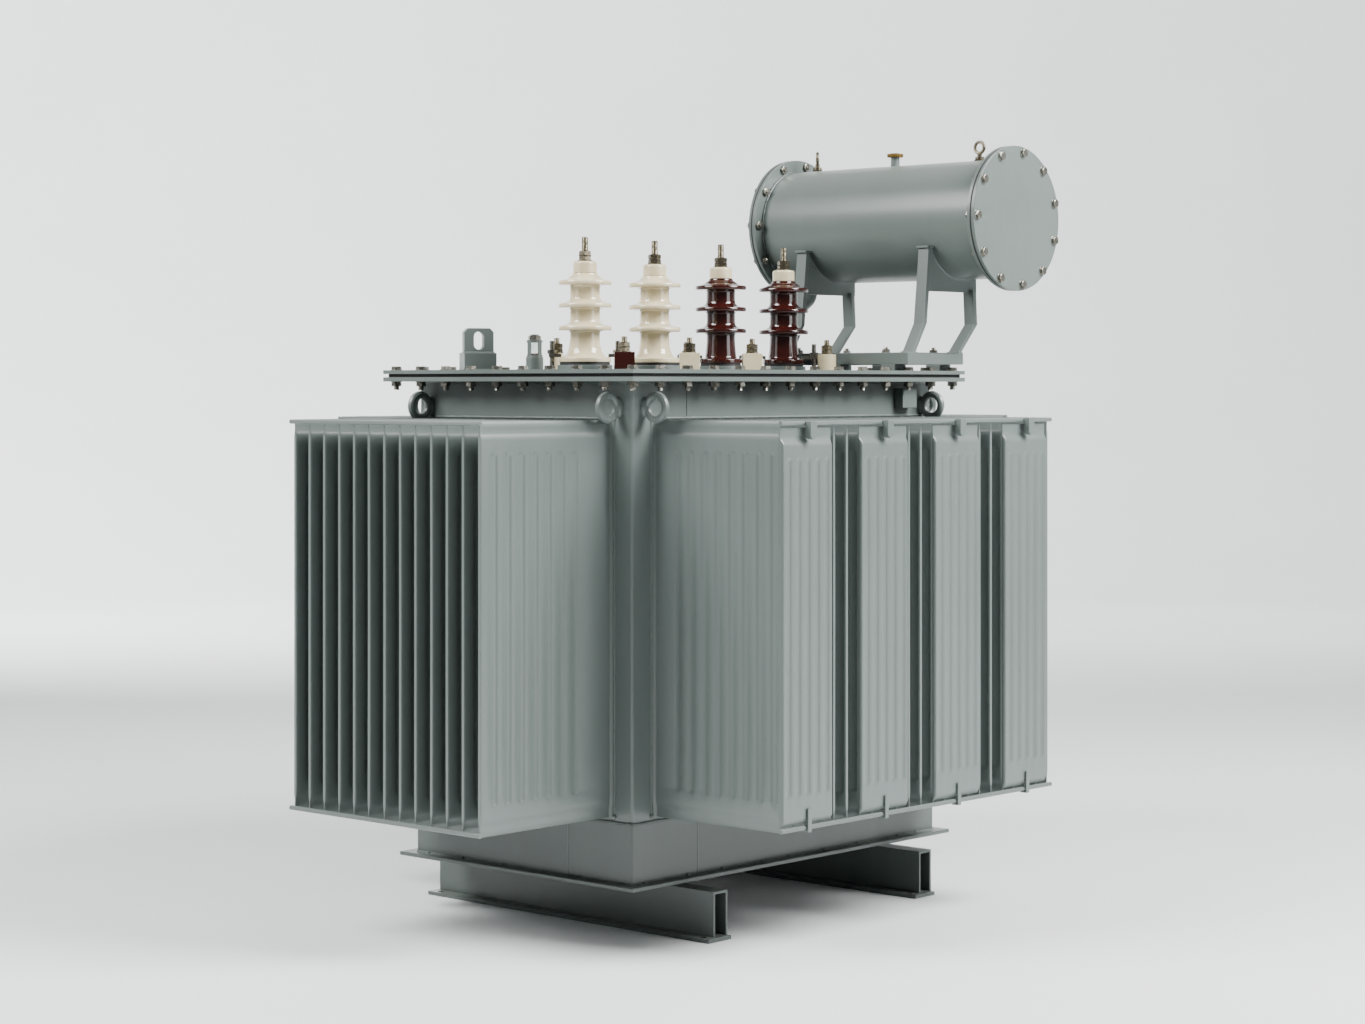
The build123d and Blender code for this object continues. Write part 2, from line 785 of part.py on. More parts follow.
def cons_bolt_set(y_out, direction):
    """Bolts and nuts of one end; direction is -1 at the near end, +1 at the far end."""
    pieces = []
    stack = cons_end_thickness + cons_gasket + cons_flange_thickness
    for angle in cons_bolt_angles():
        x = cons_x + cons_bolt_circle * cos(angle)
        z = cons_z + cons_bolt_circle * sin(angle)
        h0, h1 = sorted((y_out, y_out + direction * cons_head_height))
        inner_face = y_out - direction * stack
        tail = inner_face - direction * (cons_head_height + 4)
        s0, s1 = sorted((y_out, tail))
        pieces.append(hexagon_y(x, z, h0, h1, cons_head_flats) + bar_y(x, z, s0, s1, cons_bolt_radius))
        n0, n1 = sorted((inner_face, inner_face - direction * cons_head_height))
        nut = hexagon_y(x, z, n0, n1, cons_head_flats)
        pieces.append(nut - bar_y(x, z, n0 - 1, n1 + 1, cons_bolt_radius + nut_clearance))
    return pieces


def eyebolt(y, turn):
    """An eyebolt in a welded boss on top of the barrel."""
    boss_top = cons_top + eyebolt_boss_height
    boss = post(cons_x, y, cons_z, boss_top, eyebolt_boss_radius)
    boss -= bar_y(cons_x, cons_z, y - 50, y + 50, cons_radius)
    shank_top = boss_top + eyebolt_shank_height - eyebolt_ring_radius + eyebolt_bar_radius
    shank = post(cons_x, y, boss_top, shank_top, eyebolt_shank_radius)
    ring_z = boss_top + eyebolt_shank_height + eyebolt_bar_radius
    eye = Rot(0, 0, turn) * Rot(90, 0, 0) * Torus(eyebolt_ring_radius, eyebolt_bar_radius)
    eye = Pos(cons_x, y, ring_z) * eye
    return [boss, shank + eye]


def filler_neck():
    """A short filler tube on top of the barrel."""
    top = cons_top + filler_height
    neck = post(cons_x, filler_y, cons_z, top, filler_radius)
    neck -= bar_y(cons_x, cons_z, filler_y - 50, filler_y + 50, cons_radius)
    return neck - post(cons_x, filler_y, cons_z, top + 1, filler_radius - filler_wall)


def filler_cap():
    """A screw cap with a plug that enters the neck."""
    low = cons_top + filler_height + filler_cap_gap
    cap = post(cons_x, filler_y, low, low + filler_cap_height, filler_cap_radius)
    plug_radius = filler_radius - filler_wall - filler_cap_gap
    return cap + post(cons_x, filler_y, low - filler_height / 2, low, plug_radius)


def leg(y, foot, bend, top):
    """A cranked leg: a flat bar bent once, set across the tank."""
    half = leg_thickness / 2
    outline = [
        (foot - half, frame_top),
        (foot + half, frame_top),
        (bend[0] + half, bend[1]),
        (top[0] + half, top[1]),
        (top[0] - half, top[1]),
        (bend[0] - half, bend[1]),
    ]
    face = make_face(Polyline(*[(x, 0, z) for x, z in outline], close=True))
    return Pos(0, y, 0) * extrude(face, amount=leg_width / 2, both=True)


def bracket(y):
    """Two legs, the cap plate of the taller one and the saddle between them."""
    left = leg(y, leg_left_foot, leg_left_bend, leg_left_top)
    right = leg(y, leg_right_foot, leg_right_bend, leg_right_top)
    cap = block(
        leg_left_top[0] - leg_thickness,
        leg_left_top[0] + leg_thickness,
        y - leg_width / 2 - 2,
        y + leg_width / 2 + 2,
        leg_left_top[1],
        leg_left_top[1] + leg_cap_thickness,
    )
    half = saddle_thickness / 2
    lip_z = cons_z - cons_radius + saddle_lip
    barrel = bar_y(cons_x, cons_z, y - 50, y + 50, cons_radius)
    saddle = block(leg_left_bend[0], cons_x, y - half, y + half, saddle_bottom, leg_left_top[1])
    saddle += block(leg_left_bend[0], saddle_right, y - half, y + half, saddle_bottom, lip_z)
    saddle = saddle - barrel - left - right
    low_x, high_x = leg_left_top[0], leg_right_top[0]
    middle = [s for s in saddle.solids() if low_x < s.center().X < high_x]
    return [left - barrel, right, cap - barrel] + middle


def base_frame():
    """Four square bars under the legs, on flat feet between the cover's edge bolts."""
    z0 = cover_top + frame_foot_height
    bars = []
    for x in (frame_x0, frame_x1 - frame_bar):
        bars.append(block(x, x + frame_bar, frame_y0, frame_y1, z0, frame_top))
    for y in (frame_y0, frame_y1 - frame_bar):
        bars.append(block(frame_x0 + frame_bar, frame_x1 - frame_bar, y, y + frame_bar, z0, frame_top))
    feet = []
    for x in (frame_x0, frame_x1 - frame_foot_side):
        for gap in frame_foot_gaps:
            foot_y0 = -y_edge + (gap + 0.5) * short_step - frame_foot_side / 2
            feet.append(block(x, x + frame_foot_side, foot_y0, foot_y0 + frame_foot_side, cover_top, z0))
    return bars + feet


# ---------------------------------------------------------------- oil pipe and valve
def pipe_run(points, radius):
    """A round bar along a bent path."""
    path = FilletPolyline(*points, radius=pipe_bend) if len(points) > 2 else Line(*points)
    start = Plane(origin=points[0], z_dir=(0, 0, 1))
    return sweep(start * Circle(radius), path=path)


def oil_pipe():
    """The pipe from cover to conservator, with a foot flange and a lever valve."""
    x, y = pipe_place
    foot = post(x, y, cover_top, cover_top + pipe_flange_thickness, pipe_flange_radius)
    lower = foot + post(x, y, cover_top, valve_bottom, pipe_radius)
    lower -= post(x, y, cover_top - 1, valve_bottom + 1, pipe_radius - pipe_wall)
    valve_top = valve_bottom + valve_height
    valve = post(x, y, valve_bottom, valve_top, valve_radius)
    mid_z = valve_bottom + valve_height / 2
    stem_y = y + valve_radius + valve_stem_length
    valve += bar_y(x, mid_z, y, stem_y, valve_stem_radius)
    valve -= post(x, y, valve_bottom - 1, valve_top + 1, pipe_radius - pipe_wall)
    points = [(x, y, valve_top), (x, y, pipe_rise), (cons_x, y, pipe_slope_top), (cons_x, y, cons_z)]
    upper = pipe_run(points, pipe_radius) - pipe_run(points, pipe_radius - pipe_wall)
    upper -= bar_y(cons_x, cons_z, y - 60, y + 60, cons_radius)
    upper_solids = sorted(upper.solids(), key=lambda s: s.volume)
    return [lower, valve, upper_solids[-1]]


def valve_lever():
    """A flat lever on the valve's stem, upright when the valve is open."""
    x, y = pipe_place
    mid_z = valve_bottom + valve_height / 2
    y0 = y + valve_radius + 4
    y1 = y0 + lever_thickness
    hub = bar_y(x, mid_z, y0, y1, lever_hub_radius)
    arm = block(x - lever_width / 2, x + lever_width / 2, y0, y1, mid_z, mid_z + lever_length)
    grip = bar_y(x, mid_z + lever_length, y0, y1, lever_width / 2)
    return hub + arm + grip - bar_y(x, mid_z, y0 - 1, y1 + 1, valve_stem_radius + lever_gap)


# ---------------------------------------------------------------- level gauge
def level_dial():
    """A round dial case on the far end cover, with its spindle."""
    y0 = cons_far
    y1 = cons_far + dial_depth
    case = bar_y(cons_x, cons_z, y0, y1, dial_radius)
    case -= bar_y(cons_x, cons_z, y0 + dial_back, y1 + 1, dial_radius - dial_wall)
    spindle = bar_y(cons_x, cons_z, y0, y1 - dial_bezel, pointer_shaft_radius)
    return case + spindle


def dial_pointer():
    """The pointer, on the dial's spindle, showing the lowest level."""
    y1 = cons_far + dial_depth - dial_bezel - 2
    y0 = y1 - pointer_thickness
    hub = bar_y(cons_x, cons_z, y0, y1, pointer_shaft_radius + 4)
    arm = block(-pointer_length, 0, y0, y1, -pointer_width / 2, pointer_width / 2)
    arm = Pos(cons_x, 0, cons_z) * Rot(0, -float_drop, 0) * arm
    bore = bar_y(cons_x, cons_z, y0 - 1, y1 + 1, pointer_shaft_radius + pointer_gap)
    return hub + arm - bore


def float_spindle():
    """The fixed pivot of the float arm, on the inside of the far end cover."""
    y1 = cons_far - cons_end_thickness
    y0 = y1 - float_inset - float_boss_length - float_spindle_end
    return bar_y(cons_x, cons_z, y0, y1, float_shaft_radius)


def float_arm():
    """The float and its arm, resting on the low stop."""
    y1 = cons_far - cons_end_thickness - float_inset
    y0 = y1 - float_boss_length
    y = (y0 + y1) / 2
    hub = bar_y(0, 0, y0, y1, float_boss_radius)
    arm = bar_x(y, 0, -float_arm_length, -float_shaft_radius - float_gap, float_arm_radius)
    ball = Pos(-float_arm_length, y, 0) * Rot(90, 0, 0) * Sphere(float_ball_radius)
    swing = hub + arm + ball
    swing -= bar_y(0, 0, y0 - 1, y1 + 1, float_shaft_radius + float_gap)
    return Pos(cons_x, 0, cons_z) * Rot(0, -float_drop, 0) * swing


# ---------------------------------------------------------------- tap changer
def tap_switch():
    """The cover boss, the hanging tube and the switch block below it."""
    x, y = tap_place
    bore = tap_shaft_radius + tap_gap
    boss_top = cover_top + tap_boss_height
    boss = post(x, y, cover_top, boss_top, tap_boss_radius) - post(x, y, cover_top - 1, boss_top + 1, bore)
    low = gasket_top - tap_depth
    tube = post(x, y, low, gasket_top, tap_tube_radius) - post(x, y, low - 1, gasket_top + 1, bore)
    side = tap_switch_side / 2
    switch = block(x - side, x + side, y - side, y + side, low - tap_switch_height, low)
    switch -= post(x, y, low - tap_switch_height - 1, low + 1, bore)
    return [boss, tube, switch]


def tap_knob():
    """The knob and its shaft down to the switch."""
    x, y = tap_place
    z0 = cover_top + tap_boss_height + tap_knob_lift
    z1 = z0 + tap_knob_height
    knob = post(x, y, z0, z1, tap_knob_radius)
    knob += block(
        x - tap_knob_radius + 4,
        x + tap_knob_radius - 4,
        y - tap_grip_width / 2,
        y + tap_grip_width / 2,
        z1,
        z1 + tap_grip_height,
    )
    return knob + post(x, y, gasket_top - tap_depth - tap_switch_height, z0, tap_shaft_radius)


# ---------------------------------------------------------------- drain valve
drain_z = base_top + drain_z_above_base
drain_x0 = half_x + skirt_proud
drain_body_x = drain_x0 + drain_length


def drain_valve():
    """A drain stub and globe valve on the skirt's right side."""
    stub = bar_x(0, drain_z, drain_x0, drain_body_x, drain_radius)
    body = bar_x(0, drain_z, drain_body_x, drain_body_x + drain_body_length, drain_body_radius)
    valve = stub + body - bar_x(0, drain_z, drain_x0 - 1, drain_body_x + drain_body_length / 2, drain_bore)
    middle = drain_body_x + drain_body_length / 2
    boss_z = drain_z - drain_body_radius - drain_boss_height
    outlet = hexagon(middle, 0, boss_z, drain_z, drain_boss_flats)
    outlet += post(middle, 0, boss_z - drain_tail_length, boss_z, drain_tail_radius)
    stem_x = drain_body_x + drain_body_length
    stem = bar_x(0, drain_z, stem_x, stem_x + drain_stem_length, drain_stem_radius)
    return valve + outlet + stem - post(middle, 0, boss_z - drain_tail_length - 1, drain_z, drain_bore)


def drain_wheel():
    """The drain valve's handwheel."""
    x = drain_body_x + drain_body_length + drain_stem_length - 6
    rim = Pos(x, 0, drain_z) * Rot(0, 90, 0) * Torus(drain_wheel_radius, drain_wheel_bar)
    hub = bar_x(0, drain_z, x - 5, x + 5, drain_hub_radius)
    spoke = bar_y(0, 0, -drain_wheel_radius, drain_wheel_radius, drain_wheel_bar - 1)
    spokes = [Pos(x, 0, drain_z) * Rot(60 * i, 0, 0) * spoke for i in range(3)]
    wheel = rim + hub + spokes[0] + spokes[1] + spokes[2]
    return wheel - bar_x(0, drain_z, x - 6, x + 6, drain_stem_radius + drain_gap)


# ---------------------------------------------------------------- core and coils
core_bottom = base_top + core_lift
window_bottom = core_bottom + yoke_height
window_top = window_bottom + window_height
core_top = window_top + yoke_height
limb_places = (-limb_pitch, 0.0, limb_pitch)


def core():
    """The laminated core: three limbs between two yokes."""
    end = limb_pitch + limb_radius
    iron = block(-end, end, -limb_radius, limb_radius, core_bottom, window_bottom)
    iron += block(-end, end, -limb_radius, limb_radius, window_top, core_top)
    for x in limb_places:
        iron += post(x, 0, window_bottom, window_top, limb_radius)
    return iron


def core_clamps():
    """Four steel beams that press the yokes; the lower ones stand on the base."""
    end = limb_pitch + limb_radius + clamp_beam_overhang
    beams = []
    for side in (-1, 1):
        y0, y1 = sorted((side * limb_radius, side * (limb_radius + clamp_beam_thickness)))
        beams.append(block(-end, end, y0, y1, base_top, window_bottom))
        beams.append(block(-end, end, y0, y1, window_top, core_top))
    return beams


def coils(inner, outer):
    """One tubular coil on each limb."""
    z0 = window_bottom + coil_end_gap
    z1 = window_top - coil_end_gap
    return [ring(x, 0, z0, z1, outer, inner) for x in limb_places]


# ---------------------------------------------------------------- write every node
os.makedirs("parts", exist_ok=True)

save("skid_left", *skid(-skid_gauge / 2))
save("skid_right", *skid(skid_gauge / 2))
save("skid_packers", *packers())
base_x = half_x + skirt_proud + base_overhang
base_y = half_y + skirt_proud + base_overhang
save("base_plate", block(-base_x, base_x, -base_y, base_y, base_bottom, base_top))

skirt_x = half_x + skirt_proud
skirt_y = half_y + skirt_proud
skirt = ring_frame(skirt_x, skirt_y, skirt_x - skirt_wall, skirt_y - skirt_wall, base_top, skirt_top)
skirt -= bar_x(0, drain_z, half_x - skirt_wall - 1, half_x + skirt_proud + 1, drain_bore)
save("tank_skirt", skirt)
save("tank_walls_long", long_wall(-1), long_wall(1))
save("tank_walls_short", short_wall(-1), short_wall(1))
save("fins_front", *[Pos(x, 0, 0) * fin_y(-1) for x in front_fins])
save("fins_back", *[Pos(x, 0, 0) * fin_y(1) for x in front_fins])
save("fins_left", *[Pos(0, y, 0) * fin_x(-1) for y in side_fins])
save("fins_right", *[Pos(0, y, 0) * fin_x(1) for y in side_fins])
save("fin_tip_bars", *tip_bars())
both_sides = [(side, x0) for side in (-1, 1) for x0 in panel_starts]
save("outer_panels", *[outer_panel(side, x0) for side, x0 in both_sides])
save("panel_hangers", *[hanger(side, x0) for side, x0 in both_sides])
save("panel_straps", *[strap(side, x0) for side, x0 in both_sides])

flange = ring_frame(cover_x, cover_y, inner_x, inner_y, wall_top, flange_top)
save("tank_flange", drilled(flange, wall_top, flange_top))
gasket_x = cover_x - gasket_inset
gasket_y = cover_y - gasket_inset
gasket = ring_frame(gasket_x, gasket_y, inner_x, inner_y, flange_top, gasket_top)
save("cover_gasket", drilled(gasket, flange_top, gasket_top))
cover = drilled(block(-cover_x, cover_x, -cover_y, cover_y, gasket_top, cover_top), gasket_top, cover_top)
terminals = [(x, hv_row, hv_stem_radius) for x in hv_places]
terminals += [(x, lv_row, lv_stem_radius) for x in lv_places]
terminals.append((small_post_place[0], small_post_place[1], lv_stem_radius))
for x, y, radius in terminals:
    cover -= post(x, y, gasket_top - 1, cover_top + 1, radius + bore_clearance)
cover -= post(*pipe_place, gasket_top - 1, cover_top + 1, pipe_radius - pipe_wall)
cover -= post(*tap_place, gasket_top - 1, cover_top + 1, tap_shaft_radius + tap_gap)
save("cover_plate", cover)
save("cover_bolts", *[cover_bolt(x, y) for x, y in bolt_places])
save("cover_nuts", *[cover_nut(x, y) for x, y in bolt_places])
save("ring_eyes", *ring_eyes())
pad_x = half_x - earth_pad_from_end
pad_size_x, pad_size_y, pad_size_z = earth_pad_size
pad_z1 = wall_top - 14
pad_x0 = pad_x - pad_size_x / 2
pad_y0 = -half_y - pad_size_y
save("earth_pad", block(pad_x0, pad_x0 + pad_size_x, pad_y0, -half_y, pad_z1 - pad_size_z, pad_z1))
save("lifting_lug", *lifting_lug())

gauge_top = gauge_base + gauge_cage_height
save("gauge_cage", gauge_cage())
save("gauge_glass", gauge_glass())
save("gauge_cap", hexagon(*gauge_place, gauge_top, gauge_top + gauge_cap_height, gauge_cap_flats))
save("gauge_float", post(*gauge_place, gauge_base, gauge_base + gauge_float_height, gauge_float_radius))

cream = [(x, hv_base_radius_cream) for x in hv_places[:hv_cream]]
brown = [(x, hv_base_radius_brown) for x in hv_places[hv_cream:]]
stud_hole = hv_stem_radius + bore_clearance
seat_top = cover_top + seat_height
feet = cream + brown
seats = [ring(x, hv_row, cover_top, seat_top, r + seat_margin, stud_hole) for x, r in feet]
save("hv_seats", *seats)
seals = [ring(x, hv_row, seat_top, hv_bottom, r - seal_inset, stud_hole) for x, r in feet]
save("hv_seals", *seals)
save("hv_porcelain_cream", *[hv_porcelain(x, r) for x, r in cream])
save("hv_porcelain_brown", *[hv_porcelain(x, r) for x, r in brown])
cap_top = hv_top + hv_cap_height
cap_hole = hv_stem_radius + stud_gap
save("hv_caps", *[ring(x, hv_row, hv_top, cap_top, hv_neck_radius, cap_hole) for x in hv_places])
studs = []
for x in hv_places:
    stem_top = cap_top + 2 * stud_nut_height + stud_nut_gap + stem_over_nuts
    studs.append(terminal_stud(x, hv_row, stem_top, cap_top + hv_stud_above, hv_stem_radius, hv_tip_radius))
lv_spots = [(x, lv_row) for x in lv_places] + [small_post_place]
lv_top = cover_top + lv_height
for x, y in lv_spots:
    stem_top = lv_top + 2 * lv_nut_height + lv_nut_gap + stem_over_nuts
    studs.append(terminal_stud(x, y, stem_top, lv_top + lv_stud_above, lv_stem_radius, lv_tip_radius))
save("bushing_studs", *studs)
nuts = []
for x in hv_places:
    nuts += stud_nuts(x, hv_row, cap_top, stud_nut_flats, stud_nut_height, stud_nut_gap, hv_stem_radius)
for x, y in lv_spots:
    nuts += stud_nuts(x, y, lv_top, lv_nut_flats, lv_nut_height, lv_nut_gap, lv_stem_radius)
save("bushing_nuts", *nuts)
clamps = []
for x, r in cream + brown:
    clamps += clamp_set(x, r)
save("bushing_clamps", *clamps)
save("lv_block_brown", lv_block(*lv_spots[0]))
round_posts = [
    ring(*lv_spots[3], cover_top, lv_top, lv_round_radius, lv_stem_radius + stud_gap),
    ring(*lv_spots[4], cover_top, lv_top, small_post_radius, lv_stem_radius + stud_gap),
]
save("lv_posts_cream", lv_block(*lv_spots[1]), lv_block(*lv_spots[2]), *round_posts)

inner_near = cons_near + cons_end_thickness
inner_far = cons_far - cons_end_thickness
save("conservator_shell", cons_shell())
ring_in = cons_radius
save(
    "conservator_flanges",
    cons_ring(shell_near - cons_flange_thickness, shell_near, cons_radius - cons_wall),
    cons_ring(shell_far, shell_far + cons_flange_thickness, cons_radius - cons_wall),
)
save(
    "conservator_gaskets",
    cons_ring(inner_near, inner_near + cons_gasket, cons_radius - cons_wall),
    cons_ring(inner_far - cons_gasket, inner_far, cons_radius - cons_wall),
)
near_end = cons_holes(bar_y(cons_x, cons_z, cons_near, inner_near, cons_flange_radius), cons_near, inner_near)
far_end = cons_holes(bar_y(cons_x, cons_z, inner_far, cons_far, cons_flange_radius), inner_far, cons_far)
save("conservator_ends", near_end, far_end + float_spindle())
save("conservator_bolts", *cons_bolt_set(cons_near, -1), *cons_bolt_set(cons_far, 1))
eyes = []
for y, turn in zip(eyebolt_places, eyebolt_turns):
    eyes += eyebolt(y, turn)
save("eyebolts", *eyes)
save("filler_neck", filler_neck())
save("filler_cap", filler_cap())
save("conservator_brackets", *bracket(bracket_places[0]), *bracket(bracket_places[1]))
save("conservator_base", *base_frame())
save("oil_pipe", *oil_pipe())
save("valve_lever", valve_lever())
save("level_dial", level_dial())
save("dial_pointer", dial_pointer())
save("float_arm", float_arm())
save("tap_switch", *tap_switch())
save("tap_knob", tap_knob())
save("drain_valve", drain_valve())
save("drain_wheel", drain_wheel())
save("core", core())
save("core_clamps", *core_clamps())
save("lv_coils", *coils(lv_coil_inner, lv_coil_outer))
save("hv_coils", *coils(hv_coil_inner, hv_coil_outer))
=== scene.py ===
# %% [markdown]
# # An oil-filled distribution transformer
# A welded steel tank with hollow cooling fins stands on two channel skids. Porcelain
# bushings bring the wires through a bolted cover, and a drum above one end, the
# conservator, gives the hot oil room to swell. We load the solid model as a fixed frame,
# and build each visible part round it.

# %% Load the frame
import json
from math import cos, pi, radians, sin, sqrt

import bmesh
import bpy
import numpy as np
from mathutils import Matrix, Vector


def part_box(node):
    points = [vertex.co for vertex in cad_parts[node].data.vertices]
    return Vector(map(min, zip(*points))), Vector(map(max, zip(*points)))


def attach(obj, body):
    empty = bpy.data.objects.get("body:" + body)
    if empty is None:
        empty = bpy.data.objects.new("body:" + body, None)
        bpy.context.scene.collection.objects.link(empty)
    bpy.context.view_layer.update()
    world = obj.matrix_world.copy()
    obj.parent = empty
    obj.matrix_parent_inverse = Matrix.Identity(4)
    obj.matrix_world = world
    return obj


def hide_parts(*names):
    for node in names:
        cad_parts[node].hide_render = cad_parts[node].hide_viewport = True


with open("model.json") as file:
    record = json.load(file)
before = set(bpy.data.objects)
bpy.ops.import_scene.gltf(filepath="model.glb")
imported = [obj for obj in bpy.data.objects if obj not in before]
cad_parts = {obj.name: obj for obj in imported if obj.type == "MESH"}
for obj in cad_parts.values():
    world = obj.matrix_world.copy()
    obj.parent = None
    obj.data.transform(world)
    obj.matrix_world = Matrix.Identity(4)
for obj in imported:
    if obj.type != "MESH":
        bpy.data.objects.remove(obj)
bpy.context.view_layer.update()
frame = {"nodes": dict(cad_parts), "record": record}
BODY = {n: b for b, nodes in frame["record"]["behaviour"]["bodies"].items() for n in nodes}
rng = np.random.default_rng(7)

# %% [markdown]
# ## The camera
# The view is level, 1.11 m above the floor, and looks across the left front corner with
# a long lens. The optical axis stays level so that uprights stay upright, and the lens is
# shifted down, as an architect's camera is.

# %% Camera
camera_data = bpy.data.cameras.new("camera")
camera = bpy.data.objects.new("camera", camera_data)
bpy.context.scene.collection.objects.link(camera)
bpy.context.scene.camera = camera
camera.location = (-4.592, -4.1836, 1.1099)
camera.rotation_euler = (radians(90), 0, radians(42.31 - 90))
camera_data.sensor_width = 36.0
camera_data.lens = 75.18
camera_data.shift_y = -0.0928
camera_data.clip_end = 200
print("camera lens", camera_data.lens, "mm")

# %% [markdown]
# ## Helpers for shapes
# Every new piece is a grid of points worked out with numpy in millimetres: a profile
# turned round an axis, a circle carried along a path, or two skins joined round their
# border. One function makes the quads of a grid, one turns arrays into an object.

# %% Grid, lathe, tube and skin


def grid(rows, cols, wrap_rows=False, wrap_cols=False):
    """Quads of a grid numbered row by row: point (i, j) joins its next row and column."""
    i = np.arange(rows if wrap_rows else rows - 1)
    j = np.arange(cols if wrap_cols else cols - 1)
    i, j = np.meshgrid(i, j, indexing="ij")
    i1, j1 = (i + 1) % rows, (j + 1) % cols
    corners = [i * cols + j, i * cols + j1, i1 * cols + j1, i1 * cols + j]
    return np.stack(corners, -1).reshape(-1, 4)


def join(*parts):
    """Several (points, quads) pairs as one pair; each part's quads are renumbered."""
    starts = np.cumsum([0] + [len(v) for v, f in parts[:-1]])
    points = np.concatenate([v for v, f in parts])
    return points, np.concatenate([f + s for (v, f), s in zip(parts, starts)])


def lathe(profile, centre=(0, 0, 0), axis="Z", turns=64, hollow=False):
    """Each (radius, height) of the profile goes round the axis through the centre."""
    profile = np.asarray(profile, float)
    a = np.linspace(0, 2 * pi, turns, endpoint=False)
    x = profile[:, :1] * np.cos(a)
    y = profile[:, :1] * np.sin(a)
    z = np.repeat(profile[:, 1:2], turns, 1)
    order = {"Z": (x, y, z), "Y": (x, z, y), "X": (z, x, y)}[axis]
    points = np.stack(order, -1).reshape(-1, 3) + np.array(centre, float)
    return points, grid(len(profile), turns, hollow, True)


def resample(path, step):
    """Points every step or so along straight runs between the path's points."""
    path = np.asarray(path, float)
    runs = np.linalg.norm(np.diff(path, axis=0), axis=1)
    along = np.concatenate([[0], np.cumsum(runs)])
    places = np.linspace(0, along[-1], max(2, int(along[-1] / step) + 1))
    return np.stack([np.interp(places, along, path[:, k]) for k in range(3)], -1)


def tube(path, radius, sides=8, closed=False):
    """A circle of the given radius at each path point, square to the path's direction."""
    path = np.asarray(path, float)
    if closed:
        ahead = np.roll(path, -1, 0) - np.roll(path, 1, 0)
    else:
        ahead = np.gradient(path, axis=0)
    ahead /= np.linalg.norm(ahead, axis=1)[:, None]
    up = np.where(np.abs(ahead[:, 2:]) > 0.9, [[1.0, 0, 0]], [[0, 0, 1.0]])
    side = np.cross(ahead, up)
    side /= np.linalg.norm(side, axis=1)[:, None]
    up = np.cross(side, ahead)
    radius = np.broadcast_to(np.asarray(radius, float), (len(path),))
    a = np.linspace(0, 2 * pi, sides, endpoint=False)
    ring = side[:, None] * np.cos(a)[:, None] + up[:, None] * np.sin(a)[:, None]
    points = path[:, None] + ring * radius[:, None, None]
    if not closed:
        ends = [np.repeat(path[k][None, None], sides, 1) for k in (0, -1)]
        points = np.concatenate([ends[0], points, ends[1]])
    return points.reshape(-1, 3), grid(len(points), sides, closed, True)


def skins(front, back):
    """Two grids of points with the same border, closed all round by a strip of quads."""
    rows, cols = front.shape[:2]
    f = grid(rows, cols)
    k = np.arange(rows * cols).reshape(rows, cols)
    edge = np.concatenate([k[0, :-1], k[:-1, -1], k[-1, :0:-1], k[:0:-1, 0]])
    after = np.roll(edge, -1)
    n = rows * cols
    strip = np.stack([edge, after, after + n, edge + n], -1)
    points = np.concatenate([front.reshape(-1, 3), back.reshape(-1, 3)])
    return points, np.concatenate([f, f[:, ::-1] + n, strip])


def scatter(shape, places, turns=None):
    """Copies of a shape at each place, each turned about Z by its own angle."""
    points, quads = shape
    places = np.asarray(places, float)
    turns = np.zeros(len(places)) if turns is None else np.asarray(turns, float)
    c, s = np.cos(turns)[:, None], np.sin(turns)[:, None]
    x = points[:, 0] * c - points[:, 1] * s
    y = points[:, 0] * s + points[:, 1] * c
    z = np.broadcast_to(points[:, 2], x.shape)
    made = np.stack([x, y, z], -1) + places[:, None]
    faces = quads[None] + (np.arange(len(places)) * len(points))[:, None, None]
    return made.reshape(-1, 3), faces.reshape(-1, 4)


# %% [markdown]
# Arrays become an object here. Doubled points are merged, which closes the poles, and the
# normals are turned outwards. Edges sharper than the given angle stay crisp.

# %% Arrays to objects


def put(name, shape, finish, *nodes, body="transformer", slot=None, sharp=35, bevel=0):
    """Makes a piece from millimetre arrays and lets it ride on its body."""
    points, quads = shape
    mesh = bpy.data.meshes.new(name)
    mesh.from_pydata((points * 0.001).tolist(), [], quads.tolist())
    work = bmesh.new()
    work.from_mesh(mesh)
    bmesh.ops.remove_doubles(work, verts=work.verts, dist=2e-6)
    bmesh.ops.dissolve_degenerate(work, edges=work.edges, dist=1e-7)
    bmesh.ops.recalc_face_normals(work, faces=work.faces)
    work.to_mesh(mesh)
    work.free()
    return settle(name, mesh, finish, nodes, body, sharp, bevel)


def settle(name, mesh, finish, nodes, body, sharp, bevel):
    """Shades a mesh, gives it its finish and bevel, and hands it to the frame."""
    mesh.polygons.foreach_set("use_smooth", np.ones(len(mesh.polygons), bool))
    mesh.set_sharp_from_angle(angle=radians(sharp))
    mesh.materials.append(finish)
    piece = bpy.data.objects.new(name, mesh)
    bpy.context.scene.collection.objects.link(piece)
    if bevel:
        edge = piece.modifiers.new("edges", "BEVEL")
        edge.width = bevel * 0.001
        edge.segments = 2
        edge.limit_method = "ANGLE"
        edge.angle_limit = radians(40)
        edge.harden_normals = True
        edge.use_clamp_overlap = True
    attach(piece, BODY[nodes[0]] if nodes else body)
    if nodes:
        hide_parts(*nodes)
    return piece


